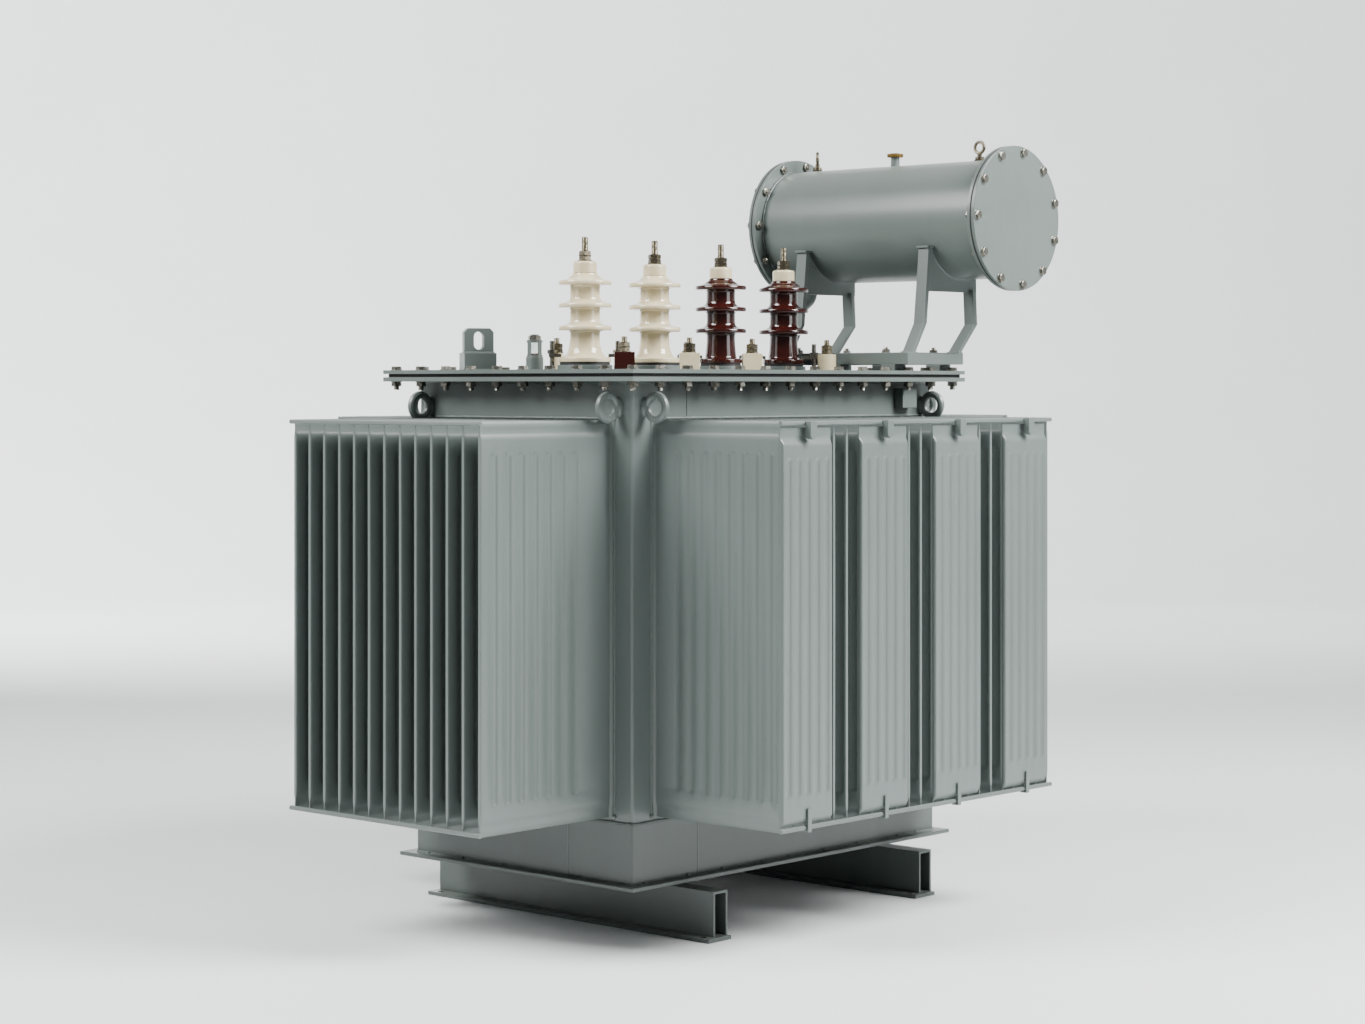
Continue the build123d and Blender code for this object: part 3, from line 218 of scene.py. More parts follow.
def from_cad(node, finish, bevel=1.0, sharp=35):
    """A merged copy of a node's mesh with its flat faces made whole and edges broken."""
    mesh = frame["nodes"][node].data.copy()
    mesh.materials.clear()
    work = bmesh.new()
    work.from_mesh(mesh)
    bmesh.ops.remove_doubles(work, verts=work.verts, dist=2e-6)
    flat = radians(0.2)
    bmesh.ops.dissolve_limit(work, angle_limit=flat, verts=work.verts, edges=work.edges)
    clean = bpy.data.meshes.new(node + "_steel")
    work.to_mesh(clean)
    work.free()
    bpy.data.meshes.remove(mesh)
    return settle(node + "_piece", clean, finish, (node,), None, sharp, bevel)


print("shape helpers ready")

# %% [markdown]
# ## Helpers for finishes
# Colours are written as sRGB hex and turned to linear light by one function. One more
# function adds a node with its settings and its links, so that a material reads as a
# short list of steps.

# %% Colour and node helpers


def srgb(code):
    """Linear RGBA of a six-figure sRGB hex."""
    v = np.array([int(code[k : k + 2], 16) for k in (0, 2, 4)]) / 255
    v = np.where(v <= 0.04045, v / 12.92, ((v + 0.055) / 1.055) ** 2.4)
    return (*v.tolist(), 1.0)


def add(tree, kind, inputs=None, **settings):
    """Adds one node; an input is a number or colour for its socket, or a link's start."""
    made = tree.nodes.new("ShaderNode" + kind)
    for key, value in settings.items():
        setattr(made, key, value)
    for key, value in (inputs or {}).items():
        if isinstance(value, bpy.types.NodeSocket):
            tree.links.new(value, made.inputs[key])
        else:
            made.inputs[key].default_value = value
    return made


def ramp(tree, value, stops):
    """Colours blended between stops, each a place from 0 to 1 and a hex colour."""
    made = add(tree, "ValToRGB", {"Fac": value})
    for k, (place, code) in enumerate(stops):
        spot = made.color_ramp.elements[k] if k < 2 else made.color_ramp.elements.new(place)
        spot.position = place
        spot.color = srgb(code)
    return made.outputs["Color"]


def new_finish(name, **base):
    """A material with one Principled shader; constants go straight on its sockets."""
    made = bpy.data.materials.new(name)
    made.use_nodes = True
    tree = made.node_tree
    shader = tree.nodes["Principled BSDF"]
    for key, value in base.items():
        shader.inputs[key.replace("_", " ")].default_value = value
    return made, tree, shader


def noise(tree, size, stretch=(1, 1, 1), detail=3.0, rough=0.5):
    """Noise with blotches about size millimetres across, on the object's own metres."""
    place = add(tree, "TexCoord").outputs["Object"]
    spread = add(tree, "Mapping", {"Vector": place, "Scale": stretch}).outputs["Vector"]
    values = {"Vector": spread, "Scale": 1000 / size, "Detail": detail, "Roughness": rough}
    return add(tree, "TexNoise", values).outputs["Fac"]


def bump(tree, shader, *layers):
    """Adds height layers, each a height socket and its depth in millimetres."""
    normal = None
    for height, depth in layers:
        values = {"Height": height, "Distance": depth * 0.001, "Strength": 1.0}
        if normal is not None:
            values["Normal"] = normal
        normal = add(tree, "Bump", values).outputs["Normal"]
    tree.links.new(normal, shader.inputs["Normal"])


def spread_of(tree, value, low, high):
    """A 0 to 1 value stretched between two numbers."""
    values = {"Value": value, "To Min": low, "To Max": high, "From Min": 0.3, "From Max": 0.7}
    return add(tree, "MapRange", values).outputs["Result"]


print("finish helpers ready")

# %% [markdown]
# ## Sprayed enamel
# The whole tank is mild steel with a sprayed blue-grey alkyd enamel. Sprayed enamel is
# even in colour, but the film dries with a fine pebbled skin called orange peel, and thin
# sheet under it is never quite flat, so long reflections wander. Dust settles where the
# surface faces up.

# %% Enamel


def enamel(name, light, dark, shade_streaks=0.0):
    """Sprayed enamel: two near shades, orange peel, uneven sheet, dust and stains; the last
    argument adds dark streaks as painted shade.
    """
    made, tree, shader = new_finish(name, IOR=1.5, Specular_IOR_Level=0.5)
    clouds = noise(tree, 260, (1, 1, 0.5), 2)
    runs = noise(tree, 26, (1, 1, 0.06), 3)
    peel = noise(tree, 3.2, detail=1)
    sheet = noise(tree, 120, (1, 1, 0.5), 1)
    colour = ramp(tree, clouds, [(0.2, dark), (0.8, light)])
    # Dark vertical streaks are stains; the last argument adds more of them as painted shade.
    streak = spread_of(tree, runs, 0.0, 0.10 + shade_streaks)
    colour = add(
        tree, "MixRGB", {"Fac": streak, "Color1": colour, "Color2": srgb("474D4A")}
    ).outputs["Color"]
    facing = add(tree, "NewGeometry").outputs["Normal"]
    up = add(tree, "SeparateXYZ", {"Vector": facing}).outputs["Z"]
    dusty = add(
        tree, "MapRange", {"Value": up, "From Min": 0.5, "From Max": 1.0, "To Max": 0.30}
    ).outputs["Result"]
    dust = add(tree, "MixRGB", {"Fac": dusty, "Color1": colour, "Color2": srgb("8B8F89")})
    tree.links.new(dust.outputs["Color"], shader.inputs["Base Color"])
    rough = spread_of(tree, clouds, 0.29, 0.33)
    tree.links.new(rough, shader.inputs["Roughness"])
    bump(tree, shader, (sheet, 0.5), (peel, 0.035))
    return made


paint = enamel("sprayed_alkyd_enamel", "616A67", "5A6360")
# Darker enamel with stronger streaks for the skirt, base plate and skids: its extra darkness is
# painted shade under the tank.
shade_darkened_paint = enamel("alkyd_enamel_darkened_as_painted_shade", "4F5855", "414946", 0.30)
print("finish:", paint.name, shade_darkened_paint.name)

# %% [markdown]
# ## Porcelain glazes
# Wet-process porcelain is fired with a glassy glaze, cream or iron brown. Glaze is as
# smooth as glass and pools slightly, which makes the colour vary a little and the
# highlights bend gently.

# %% Glazes


def glaze(name, light, dark, rough):
    """Fired glaze: slow colour change, glassy surface, faint pooling."""
    made, tree, shader = new_finish(name, IOR=1.52, Roughness=rough, Coat_Weight=0.4)
    shader.inputs["Coat Roughness"].default_value = 0.05
    pool = noise(tree, 38, detail=2)
    tree.links.new(ramp(tree, pool, [(0.3, dark), (0.7, light)]), shader.inputs["Base Color"])
    bump(tree, shader, (noise(tree, 22, detail=1), 0.12))
    return made


cream_glaze = glaze("cream_porcelain_glaze", "CFC3A4", "C4B692", 0.14)
brown_glaze = glaze("iron_brown_porcelain_glaze", "35130F", "240C0A", 0.12)
cap_cream = glaze("cream_moulded_cap", "CCC09F", "BDB08E", 0.32)
print("finish:", cream_glaze.name, brown_glaze.name, cap_cream.name)

# %% [markdown]
# ## Bare and plated metals
# Bolts are zinc plated, with a dull grey, slightly yellow passivated skin that stains.
# The terminal studs and the filler cap are brass that has gone dull.

# %% Metals


def plated(name, light, dark, rough, grain=4.0):
    """Worn plating: spotted colour, uneven gloss and fine pits."""
    made, tree, shader = new_finish(name, Metallic=1.0)
    spots = noise(tree, grain, detail=4, rough=0.6)
    tree.links.new(ramp(tree, spots, [(0.32, dark), (0.62, light)]), shader.inputs["Base Color"])
    tree.links.new(spread_of(tree, spots, rough + 0.14, rough), shader.inputs["Roughness"])
    bump(tree, shader, (noise(tree, 1.4, detail=2), 0.05))
    return made


zinc = plated("zinc_plated_steel", "96948B", "56544C", 0.30)
dull_brass = plated("dull_tinned_brass", "857E6C", "4A4437", 0.28)
cap_brass = plated("worn_brass", "8F7542", "58451F", 0.34)
copper = plated("varnished_copper", "B5714A", "8A5232", 0.35)
print("finish:", zinc.name, dull_brass.name, cap_brass.name, copper.name)

# %% [markdown]
# ## Rubber, glass, plastic and the hidden materials
# Gaskets are black nitrile rubber sheet with a dry bloom. The sight glass is borosilicate
# tube. Inside the tank the core is laminated steel and the coils are wrapped in paper.

# %% Other finishes


def plain(name, light, dark, rough, size, depth=0.05, stretch=(1, 1, 1), **base):
    """Two shades in blotches of a real size, with a light surface texture."""
    made, tree, shader = new_finish(name, Roughness=rough, **base)
    spots = noise(tree, size, stretch)
    tree.links.new(ramp(tree, spots, [(0.35, dark), (0.65, light)]), shader.inputs["Base Color"])
    bump(tree, shader, (spots, depth))
    return made


rubber = plain("nitrile_rubber_sheet", "1C1D1D", "0E0F0F", 0.72, 3, IOR=1.52)
clear_glass = plain("borosilicate_glass", "F4F8F6", "EEF4F1", 0.03, 40, 0.02, IOR=1.47)
clear_glass.node_tree.nodes["Principled BSDF"].inputs["Transmission Weight"].default_value = 0.95
red_enamel = plain("red_gloss_enamel", "B02A1E", "96221A", 0.25, 12, IOR=1.5)
phenolic = plain("black_phenolic", "1A1918", "111010", 0.42, 5, IOR=1.6)
steel_sheets = plain(
    "laminated_core_steel", "5A5D60", "45484B", 0.5, 3, 0.1, (1, 1, 0.02), Metallic=0.9
)
paper = plain("oiled_paper_wrap", "A38457", "8A6C45", 0.8, 6, 0.2, (1, 1, 0.3))
print("finish:", rubber.name, clear_glass.name, red_enamel.name, phenolic.name)

# %% [markdown]
# ## Cooling fins
# A corrugated tank wall is thin sheet folded into deep hollow fins. The two skins of a fin
# meet at a pinched rim along the top and foot, swell out over a pressed slope to the full
# thickness, and carry pressed grooves that stiffen them. So half the fin's thickness is a
# function of the distance from the wall and the height. We work it out once on a grid and
# repeat it along the wall, each copy bent by a millimetre or less, as real sheet is.

# %% Fin surface
BODY_HALF, RIM_HALF = 5.0, 1.8
GROOVE_DEEP, GROOVE_FLOOR, GROOVE_LIP = 2.7, 5.5, 10.0


def box(node):
    """A node's lowest and highest corners in millimetres."""
    low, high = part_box(node)
    return np.array(low) * 1000, np.array(high) * 1000


def rise(x):
    """A quarter sine from 0 at 0 to 1 at 1: a crisp fold that flattens out."""
    return np.sin(pi / 2 * np.clip(x, 0, 1))


def fade(x):
    """The smooth step 3x2 - 2x3 from 0 to 1."""
    x = np.clip(x, 0, 1)
    return x * x * (3 - 2 * x)


def groove_depth(across, up, centres, low, high):
    """Depth of pressed grooves: full within the floor's width of each centre line, and
    nothing beyond the lip, with round ends at the low and high ends of the lines."""
    beyond = np.maximum(np.maximum(low - up, up - high), 0)
    near = np.min([np.hypot(across - c, beyond) for c in centres], axis=0)
    return GROOVE_DEEP * (1 - fade((near - GROOVE_FLOOR) / (GROOVE_LIP - GROOVE_FLOOR)))


def fin(depth, height, grooves):
    """Half thickness = rim + (body - rim) x slope at top and foot x tip, less grooves,
    plus a round fillet of 7 mm where the sheet folds on to the wall."""
    sides = [c + d for c in grooves for d in (-10, -7.8, -5.5, 5.5, 7.8, 10)]
    out = [0, 1, 2.5, 4.5, 7, depth - 13, depth - 7, depth - 2.5, depth - 0.8, depth]
    foot = [0, 0.8, 14, 21, 24, 28, 32, 37, 54, 57, 60, 64]
    head = [0, 0.8, 13, 23, 26, 30, 34, 38, 58, 61, 64, 68]
    rows = foot + [height * 0.3, height * 0.5, height * 0.7] + [height - h for h in head]
    a, z = np.meshgrid(np.unique(sides + out), np.unique(rows))
    tip = depth - a
    swell = rise((z - 21) / 16) * rise((height - z - 23) / 15) * (0.66 + 0.34 * rise(tip / 13))
    half = RIM_HALF + (BODY_HALF - RIM_HALF) * swell
    half -= groove_depth(a, z, grooves, 64, height - 68) * swell
    half -= 0.9 * (1 - rise(tip / 2.5)) + 0.7 * (np.minimum(z, height - z) < 0.5)
    half += 7 - np.sqrt(49 - np.clip(7 - a, 0, 7) ** 2)
    return skins(np.stack([a, half, z], -1), np.stack([a, -half, z], -1))


def fin_bank(node, axis, count, grooves):
    """The fins of one wall: axis 0 points them along X, axis 1 along Y."""
    low, high = box(node)
    outward = np.sign(low[axis] + high[axis])
    root = low[axis] if outward > 0 else high[axis]
    depth, height = high[axis] - low[axis], high[2] - low[2]
    points, quads = fin(depth, height, grooves)
    a, half, z = points.T
    other = 1 - axis
    centres = np.linspace(low[other] + 5, high[other] - 5, count)[:, None]
    lean = np.clip(rng.normal(0, 0.7, (count, 1)), -1.1, 1.1)
    bow = np.clip(rng.normal(0, 0.6, (count, 1)), -1.0, 1.0)
    side = centres + half + lean * (a / depth) ** 2 + bow * np.sin(pi * z / height) * (a / depth)
    made = np.empty((count, len(points), 3))
    made[..., axis] = root + outward * a
    made[..., other] = side
    made[..., 2] = low[2] + z
    faces = quads[None] + (np.arange(count) * len(points))[:, None, None]
    put(node + "_pressed", (made.reshape(-1, 3), faces.reshape(-1, 4)), paint, node, sharp=50)
    print(node, count, "fins,", faces.size // 2, "triangles")


side_grooves = [103 + 36.7 * i for i in range(7)]
front_grooves = [62 + 36.0 * i for i in range(8)]
BANKS = (
    ("fins_left", 0, 13, side_grooves),
    ("fins_right", 0, 13, side_grooves),
    ("fins_front", 1, 23, front_grooves),
    ("fins_back", 1, 23, front_grooves),
)
for bank in BANKS:
    fin_bank(*bank)

# %% [markdown]
# ## Outer panels
# Shallow pressed trays close groups of fin gaps on the long sides, so that hot air rises
# as in a chimney. Each has a flat strip along the top, a sloped shoulder, and five grooves
# in its raised face. Its outward height is again a function on a grid.

# %% Panel surface


def panel_set(node, per_side=4, grooves=5):
    """Outward height = strip + raise x shoulders on four sides, less grooves."""
    low, high = box(node)
    width = 152.0
    starts = np.linspace(low[0], high[0] - width, per_side)
    height = high[2] - low[2]
    tip = box("fins_front")[0][1]
    full = abs(low[1] - tip)
    centres = [width / 2 + 28.5 * (i - (grooves - 1) / 2) for i in range(grooves)]
    sides = [c + d for c in centres for d in (-8, -6, -4, 4, 6, 8)]
    edges = [0, 0.7, 1.8, 3.2, 5, width - 5, width - 3.2, width - 1.8, width - 0.7, width]
    foot = [0, 0.7, 3, 6, 10, 14, 52, 54, 57, 60]
    head = [0, 0.7, 12, 22, 25, 29, 33, 37, 56, 59, 62, 66]
    rows = foot + [height / 2] + [height - h for h in head]
    x, z = np.meshgrid(np.unique(sides + edges), np.unique(rows))
    beside = np.minimum(x, width - x)
    shoulder = rise((z + 1) / 13) * rise((height - z - 22) / 14) * rise((beside + 0.6) / 4)
    scale = 0.8
    small = [c / scale for c in centres]
    near = groove_depth(x / scale, z / scale, small, 75, (height - 66) / scale)
    out = 1.4 + (full - 1.4) * shoulder - near * 0.9 * shoulder
    front = np.stack([x, out, z], -1)
    back = np.stack([x, 0 * out, z], -1)
    points, quads = skins(front, back)
    shapes = []
    for side in (-1, 1):
        spread = points * (1, side, 1) + (0, side * abs(tip), low[2])
        shapes.append(scatter((spread, quads), [(x0, 0, 0) for x0 in starts]))
    put(node + "_pressed", join(*shapes), paint, node, sharp=50)
    print(node, 2 * per_side, "panels")


panel_set("outer_panels")

# %% [markdown]
# ## Tank body
# The neck and the skirt are plate bent round at the corners, where the light catches a
# thin line. A rectangle with round corners is carried up as a tube with an inside.

# %% Neck and skirt


def rectangle(half_x, half_y, radius, per_corner=6):
    """Points round a rectangle, each corner a quarter circle of the radius."""
    a = np.linspace(0, pi / 2, per_corner)
    loops = []
    for k, (sx, sy) in enumerate([(1, 1), (-1, 1), (-1, -1), (1, -1)]):
        turn = a + k * pi / 2
        x = sx * (half_x - radius) + radius * np.cos(turn)
        y = sy * (half_y - radius) + radius * np.sin(turn)
        loops.append(np.stack([x, y], -1))
    return np.concatenate(loops)


def shell(half_x, half_y, wall, z0, z1, radius):
    """A tube of that rectangle: outside up, inside down, closed to a ring of wall."""
    outer = rectangle(half_x, half_y, radius)
    inner = rectangle(half_x - wall, half_y - wall, max(radius - wall, 0.5))
    rows = [(outer, z0), (outer, z1), (inner, z1), (inner, z0)]
    points = np.concatenate([np.c_[loop, np.full(len(loop), z)] for loop, z in rows])
    return points, grid(4, len(outer), True, True)


neck_low, neck_high = box("tank_walls_long")
skirt_low, skirt_high = box("tank_skirt")
neck = shell(neck_high[0], neck_high[1], 5, neck_low[2], neck_high[2], 5.5)
put("tank_neck", neck, paint, "tank_walls_long", "tank_walls_short")
skirt = shell(skirt_high[0], skirt_high[1], 10, skirt_low[2], skirt_high[2], 6)
# The skirt, base plate and skids take the darker enamel, whose darkness is painted shade.
put("tank_skirt_plate", skirt, shade_darkened_paint, "tank_skirt")
for node in ("base_plate", "skid_left", "skid_right", "skid_packers"):
    from_cad(node, shade_darkened_paint, 1.2)
for node in ("tank_flange", "cover_plate"):
    from_cad(node, paint, 1.2)
from_cad("cover_gasket", rubber, 0.8)
from_cad("earth_pad", paint, 1.5)
from_cad("fin_tip_bars", paint, 0)
from_cad("panel_hangers", paint, 1.2)
from_cad("panel_straps", paint, 0.8)
print("tank", neck_high * 2, "mm at the neck")

# %% [markdown]
# ## Weld beads
# Hand-laid fillet welds join the plates, and under the paint they read as lumpy cords. A
# bead is a tube along the joint whose radius swells at each ripple and wanders a little.
# Ripples are drawn 7 mm apart, about twice the real spacing, so that they show.

# %% Welds
RIPPLE = 7.0


def bead(path, size=2.6):
    """Radius = size x (1 + a sine at the ripple spacing + smoothed noise)."""
    line = resample(path, RIPPLE / 3)
    n = np.arange(len(line))
    wander = np.convolve(rng.normal(0, 0.25, len(n) + 4), np.ones(5) / 5, "valid")
    return tube(line, size * (1 + 0.14 * np.sin(n * 2 * pi / 3) + wander), 6)


def blob(x, y, z, size):
    """A small round lump of weld metal."""
    turn = np.linspace(-pi / 2, pi / 2, 6)
    profile = np.stack([size * np.cos(turn), size * 0.8 * np.sin(turn)], -1)
    return lathe(profile, (x, y, z), "Z", 8)


def wall_point(axis, wall, along, up):
    """A point on a wall square to the axis, that far along it and that high."""
    at = [0.0, 0.0, up]
    at[axis], at[1 - axis] = wall, along
    return at


beads = []
wall_x, wall_y = neck_high[0], neck_high[1]
seam = rectangle(wall_x + 1.5, wall_y + 1.5, 6, 4)
seam = np.vstack([seam, seam[:1]])
beads.append(bead(np.c_[seam, np.full(len(seam), neck_low[2] + 1.5)], 3.0))
foot_line = rectangle(skirt_high[0] + 0.5, skirt_high[1] + 0.5, 6, 4)
foot_line = np.vstack([foot_line, foot_line[:1]])
beads.append(bead(np.c_[foot_line, np.full(len(foot_line), skirt_low[2] + 0.5)], 2.2))
beads.append(bead(np.c_[seam, np.full(len(seam), neck_high[2] - 1.5)], 2.6))
for node, axis, *_ in BANKS:
    low, high = box(node)
    other = 1 - axis
    wall = neck_high[axis] * np.sign(low[axis] + high[axis])
    ends = (low[other] - 9, high[other] + 9)
    line = [wall_point(axis, wall, end, high[2] + 3) for end in ends]
    beads.append(bead(line, 2.8))
    for end in ends:
        line = [wall_point(axis, wall, end, up) for up in (low[2] - 2, high[2] + 3)]
        beads.append(bead(line, 2.0))
        beads.append(blob(*wall_point(axis, wall, end, low[2] + 2), 6.0))
        beads.append(blob(*wall_point(axis, wall, end, high[2] + 2), 4.5))
for side in (-1, 1):
    y = side * (skirt_high[1] + 0.3)
    for x in np.linspace(-440, 440, 9) + rng.normal(0, 12, 9):
        beads.append(blob(x, y + side * 2, skirt_low[2] + 1, rng.uniform(3, 5)))
    x = side * (skirt_high[0] + 0.3)
    for y in np.linspace(-270, 270, 6) + rng.normal(0, 12, 6):
        beads.append(blob(x + side * 2, y, skirt_low[2] + 1, rng.uniform(3, 5)))
seams = [(-skirt_high[0], -136.7), (-295.6, -skirt_high[1])]
for x, y in seams:
    beads.append(bead([(x, y, skirt_low[2]), (x, y, skirt_high[2])], 1.3))
NECK_SEAM_X = -323.3
line = [(NECK_SEAM_X, -wall_y, neck_high[2] - 70), (NECK_SEAM_X, -wall_y, neck_high[2])]
beads.append(bead(line, 1.6))
put("tank_welds", join(*beads), paint, slot="tank_paint", sharp=60)

tack = blob(0, 0, 0, 5.5)
spots = []
for node, axis, count, _ in BANKS:
    low, high = box(node)
    other = 1 - axis
    tip = high[axis] if low[axis] + high[axis] > 0 else low[axis]
    for along in np.linspace(low[other] + 5, high[other] - 5, count):
        for up in (low[2] + 4.5, high[2] - 4.5):
            spots.append(wall_point(axis, tip, along, up))
tacks = scatter(tack, spots, rng.uniform(0, 6, len(spots)))
put("fin_tacks", tacks, paint, slot="tank_paint")
print("welds:", len(beads), "beads,", len(spots), "tacks")

# %% [markdown]
# ## Hexagon heads, nuts and washers
# A bolt head is a hexagon whose six corners are cut by a cone, so its top face is a
# circle. Twelve columns of points, at corners and middles of the flats in turn, give the
# cut with few faces, which matters because the shape is repeated many times.

# %% Bolts


def hex_solid(flats, height, z=0.0, cone=0.5):
    """Rows of twelve points: base, top of the flats (lower at corners), top circle."""
    a = np.arange(12) * pi / 6
    corner = (np.arange(12) % 2) == 0
    r = np.where(corner, flats / sqrt(3), flats / 2)
    drop = (r - flats / 2) * cone + 0.2
    rows = [(0 * r, 0 * r), (r, 0 * r), (r, height - drop), (0 * r + flats * 0.47, 0 * r + height)]
    rows.append((0 * r, 0 * r + height))
    points = [np.stack([q * np.cos(a), q * np.sin(a), z + h], -1) for q, h in rows]
    return np.concatenate(points), grid(5, 12, False, True)


def washer(radius, thick, z=0.0):
    """A flat round disc with a small edge."""
    top = z + thick
    profile = [(0, z), (radius, z), (radius, z + thick * 0.6), (radius - 0.6, top), (0, top)]
    return lathe(profile, turns=16)


def thread(radius, z0, z1, pitch=2.0, deep=0.8, turns=20, per_pitch=3):
    """Radius = outside less a triangle wave of height minus angle: one spiral groove."""
    rows = max(4, int((z1 - z0) / pitch * per_pitch))
    z = np.linspace(z0, z1, rows)[:, None]
    a = np.linspace(0, 2 * pi, turns, endpoint=False)[None]
    wave = np.abs(2 * ((z / pitch - a / (2 * pi)) % 1) - 1)
    r = radius - deep * wave
    r[-1] -= 1.0
    points = np.stack([r * np.cos(a), r * np.sin(a), z + 0 * a], -1)
    ends = [np.broadcast_to([[[0, 0, end]]], (1, turns, 3)) for end in (z0, z1)]
    points = np.concatenate([ends[0], points, ends[1]])
    return points.reshape(-1, 3), grid(len(points), turns, False, True)


def rod(radius, z0, z1, turns=16):
    """A plain round bar with its ends closed."""
    return lathe([(0, z0), (radius, z0), (radius, z1), (0, z1)], turns=turns)


cover_high = box("cover_plate")[1]
cover_top = cover_high[2]
BOLT_INSET = 20
bolt_x, bolt_y = cover_high[0] - BOLT_INSET, cover_high[1] - BOLT_INSET
along_x = np.linspace(-bolt_x, bolt_x, 14)
along_y = np.linspace(-bolt_y, bolt_y, 10)[1:-1]
places = [(x, y, 0) for x in along_x for y in (-bolt_y, bolt_y)]
places += [(x, y, 0) for y in along_y for x in (-bolt_x, bolt_x)]
head = join(washer(12, 1.6, cover_top), hex_solid(19, 6.4, cover_top + 1.6))
turns = rng.uniform(0, pi / 3, len(places))
put("cover_bolt_heads", scatter(head, places, turns), zinc, "cover_bolts", sharp=25)
under = neck_high[2]
nut = join(
    washer(12, 1.6, under - 1.6),
    hex_solid(19, 8.4, under - 10),
    thread(6, under - 18, under - 9, 2.2, 0.7, 10, 2),
)
turns = rng.uniform(0, pi / 3, len(places))
put("cover_bolt_nuts", scatter(nut, places, turns), zinc, "cover_nuts", sharp=25)
print("cover bolts:", len(places))

# %% [markdown]
# ## Ring eyes and the lifting lug
# Rings bent from round bar are welded to the neck beside each corner, for guy ropes. A
# circle of points carries a smaller circle. The lug is thick plate on a block.

# %% Rings


def hoop(centre, axis_x, axis_y, radius, bar, steps=36, sides=10):
    """A closed ring: centre + radius x (cosine x first axis + sine x second axis)."""
    a = np.linspace(0, 2 * pi, steps, endpoint=False)[:, None]
    path = np.array(centre) + radius * (np.cos(a) * np.array(axis_x) + np.sin(a) * np.array(axis_y))
    tangent = np.roll(path, -1, 0) - np.roll(path, 1, 0)
    tangent /= np.linalg.norm(tangent, axis=1)[:, None]
    flat = np.cross(axis_x, axis_y)
    outward = np.cross(tangent, flat)
    b = np.linspace(0, 2 * pi, sides, endpoint=False)[:, None]
    circle = outward[:, None] * np.cos(b) + flat[None, None] * np.sin(b)
    points = path[:, None] + bar * circle
    return points.reshape(-1, 3), grid(steps, sides, True, True)


def weld_foot(centre):
    """A lump of weld where a ring meets the wall: a ball stretched 1.8 times upwards."""
    turn = np.linspace(-pi / 2, pi / 2, 9)
    profile = np.stack([12 * np.cos(turn), 21 * np.sin(turn)], -1)
    return lathe(profile, centre, "Z", 20)


eye_z = (box("ring_eyes")[0][2] + box("ring_eyes")[1][2]) / 2
rings = []
for sx in (-1, 1):
    for sy in (-1, 1):
        x, y = sx * (wall_x + 32.5), sy * (wall_y - 36)
        rings.append(hoop((x, y, eye_z), (1, 0, 0), (0, 0, 1), 24, 8))
        rings.append(weld_foot((sx * (wall_x + 1), y, eye_z)))
        x, y = sx * (wall_x - 36), sy * (wall_y + 32.5)
        rings.append(hoop((x, y, eye_z), (0, 1, 0), (0, 0, 1), 24, 8))
        rings.append(weld_foot((x, sy * (wall_y + 1), eye_z)))
put("ring_eyes_welded", join(*rings), paint, "ring_eyes")
from_cad("lifting_lug", paint, 1.6)
print("ring eyes at height", eye_z)

# %% [markdown]
# ## High-voltage bushings
# Each insulator is a solid of revolution: a flared foot, a plain core and three sheds with
# rounded tips and dripping edges. The outline is a list of corners, rounded by cutting
# each corner at a quarter and three quarters of its sides, three times over.

# %% Bushings
HV_ROW = -60.0
hv_places = [-362.0 + 212.0 * i for i in range(4)]
hv_bottom = box("hv_porcelain_cream")[0][2]
hv_top = box("hv_porcelain_cream")[1][2]


def rounded(corners, times=3):
    """Corner cutting: every side gives its quarter and three-quarter points."""
    p = np.asarray(corners, float)
    for _ in range(times):
        q = 0.75 * p[:-1] + 0.25 * p[1:]
        r = 0.25 * p[:-1] + 0.75 * p[1:]
        p = np.vstack([p[:1], np.stack([q, r], 1).reshape(-1, 2), p[-1:]])
    return p


def insulator(foot):
    """Outline from the bore's foot, up the outside and back down the bore."""
    line = [(9, 0), (foot - 3, 0), (foot + 0.2, 0), (foot + 0.2, 5), (foot, 9.6), (foot - 7, 10.2)]
    line += [(foot - 12, 12.5), (foot * 0.3 + 19.5, 20), (32, 33), (31, 50)]
    for tip in (71, 118, 165):
        line += [(31, tip - 14), (31, tip - 7.5), (38, tip - 6.2), (50, tip - 5.2)]
        line += [(55.4, tip - 5.2), (55.4, tip + 3.6), (49, tip + 4.2), (37, tip + 8)]
        line += [(31, tip + 13)]
    line += [(27, 180), (25.5, 184), (24.3, 184), (9, 184)]
    smooth = rounded(line[1:-1])
    return np.vstack([line[:1], smooth, line[-1:]])


def insulators(node, places, foot, finish):
    """One insulator at each place, in one piece."""
    shape = lathe(insulator(foot), turns=64, hollow=True)
    shape = scatter(shape, [(x, HV_ROW, hv_bottom) for x in places])
    put(node + "_turned", shape, finish, node, sharp=60)
    print(node, len(places), "insulators,", len(shape[1]) * 2, "triangles")


insulators("hv_porcelain_cream", hv_places[:2], 54, cream_glaze)
insulators("hv_porcelain_brown", hv_places[2:], 46, brown_glaze)
cap_line = [(9, 0), (22.6, 0), (24.4, 0.8), (24.4, 3), (24.4, 18), (24.2, 22)]
cap_line += [(21.5, 24.6), (17, 25), (9, 25)]
cap_line = np.vstack([cap_line[:1], rounded(cap_line[1:-1], 2), cap_line[-1:]])
caps = scatter(lathe(cap_line, turns=48, hollow=True), [(x, HV_ROW, hv_top) for x in hv_places])
put("hv_caps_turned", caps, cap_cream, "hv_caps", sharp=60)
from_cad("hv_seats", paint, 0.8)
from_cad("hv_seals", rubber, 0.8)
from_cad("bushing_clamps", zinc, 0.6)

# %% [markdown]
# ## Terminals
# A brass stud runs through each insulator and ends in a thread with two nuts and a
# washer. The thread is one spiral groove on a fine grid. Low-voltage terminals are short
# glazed blocks and posts with the same stack on top.

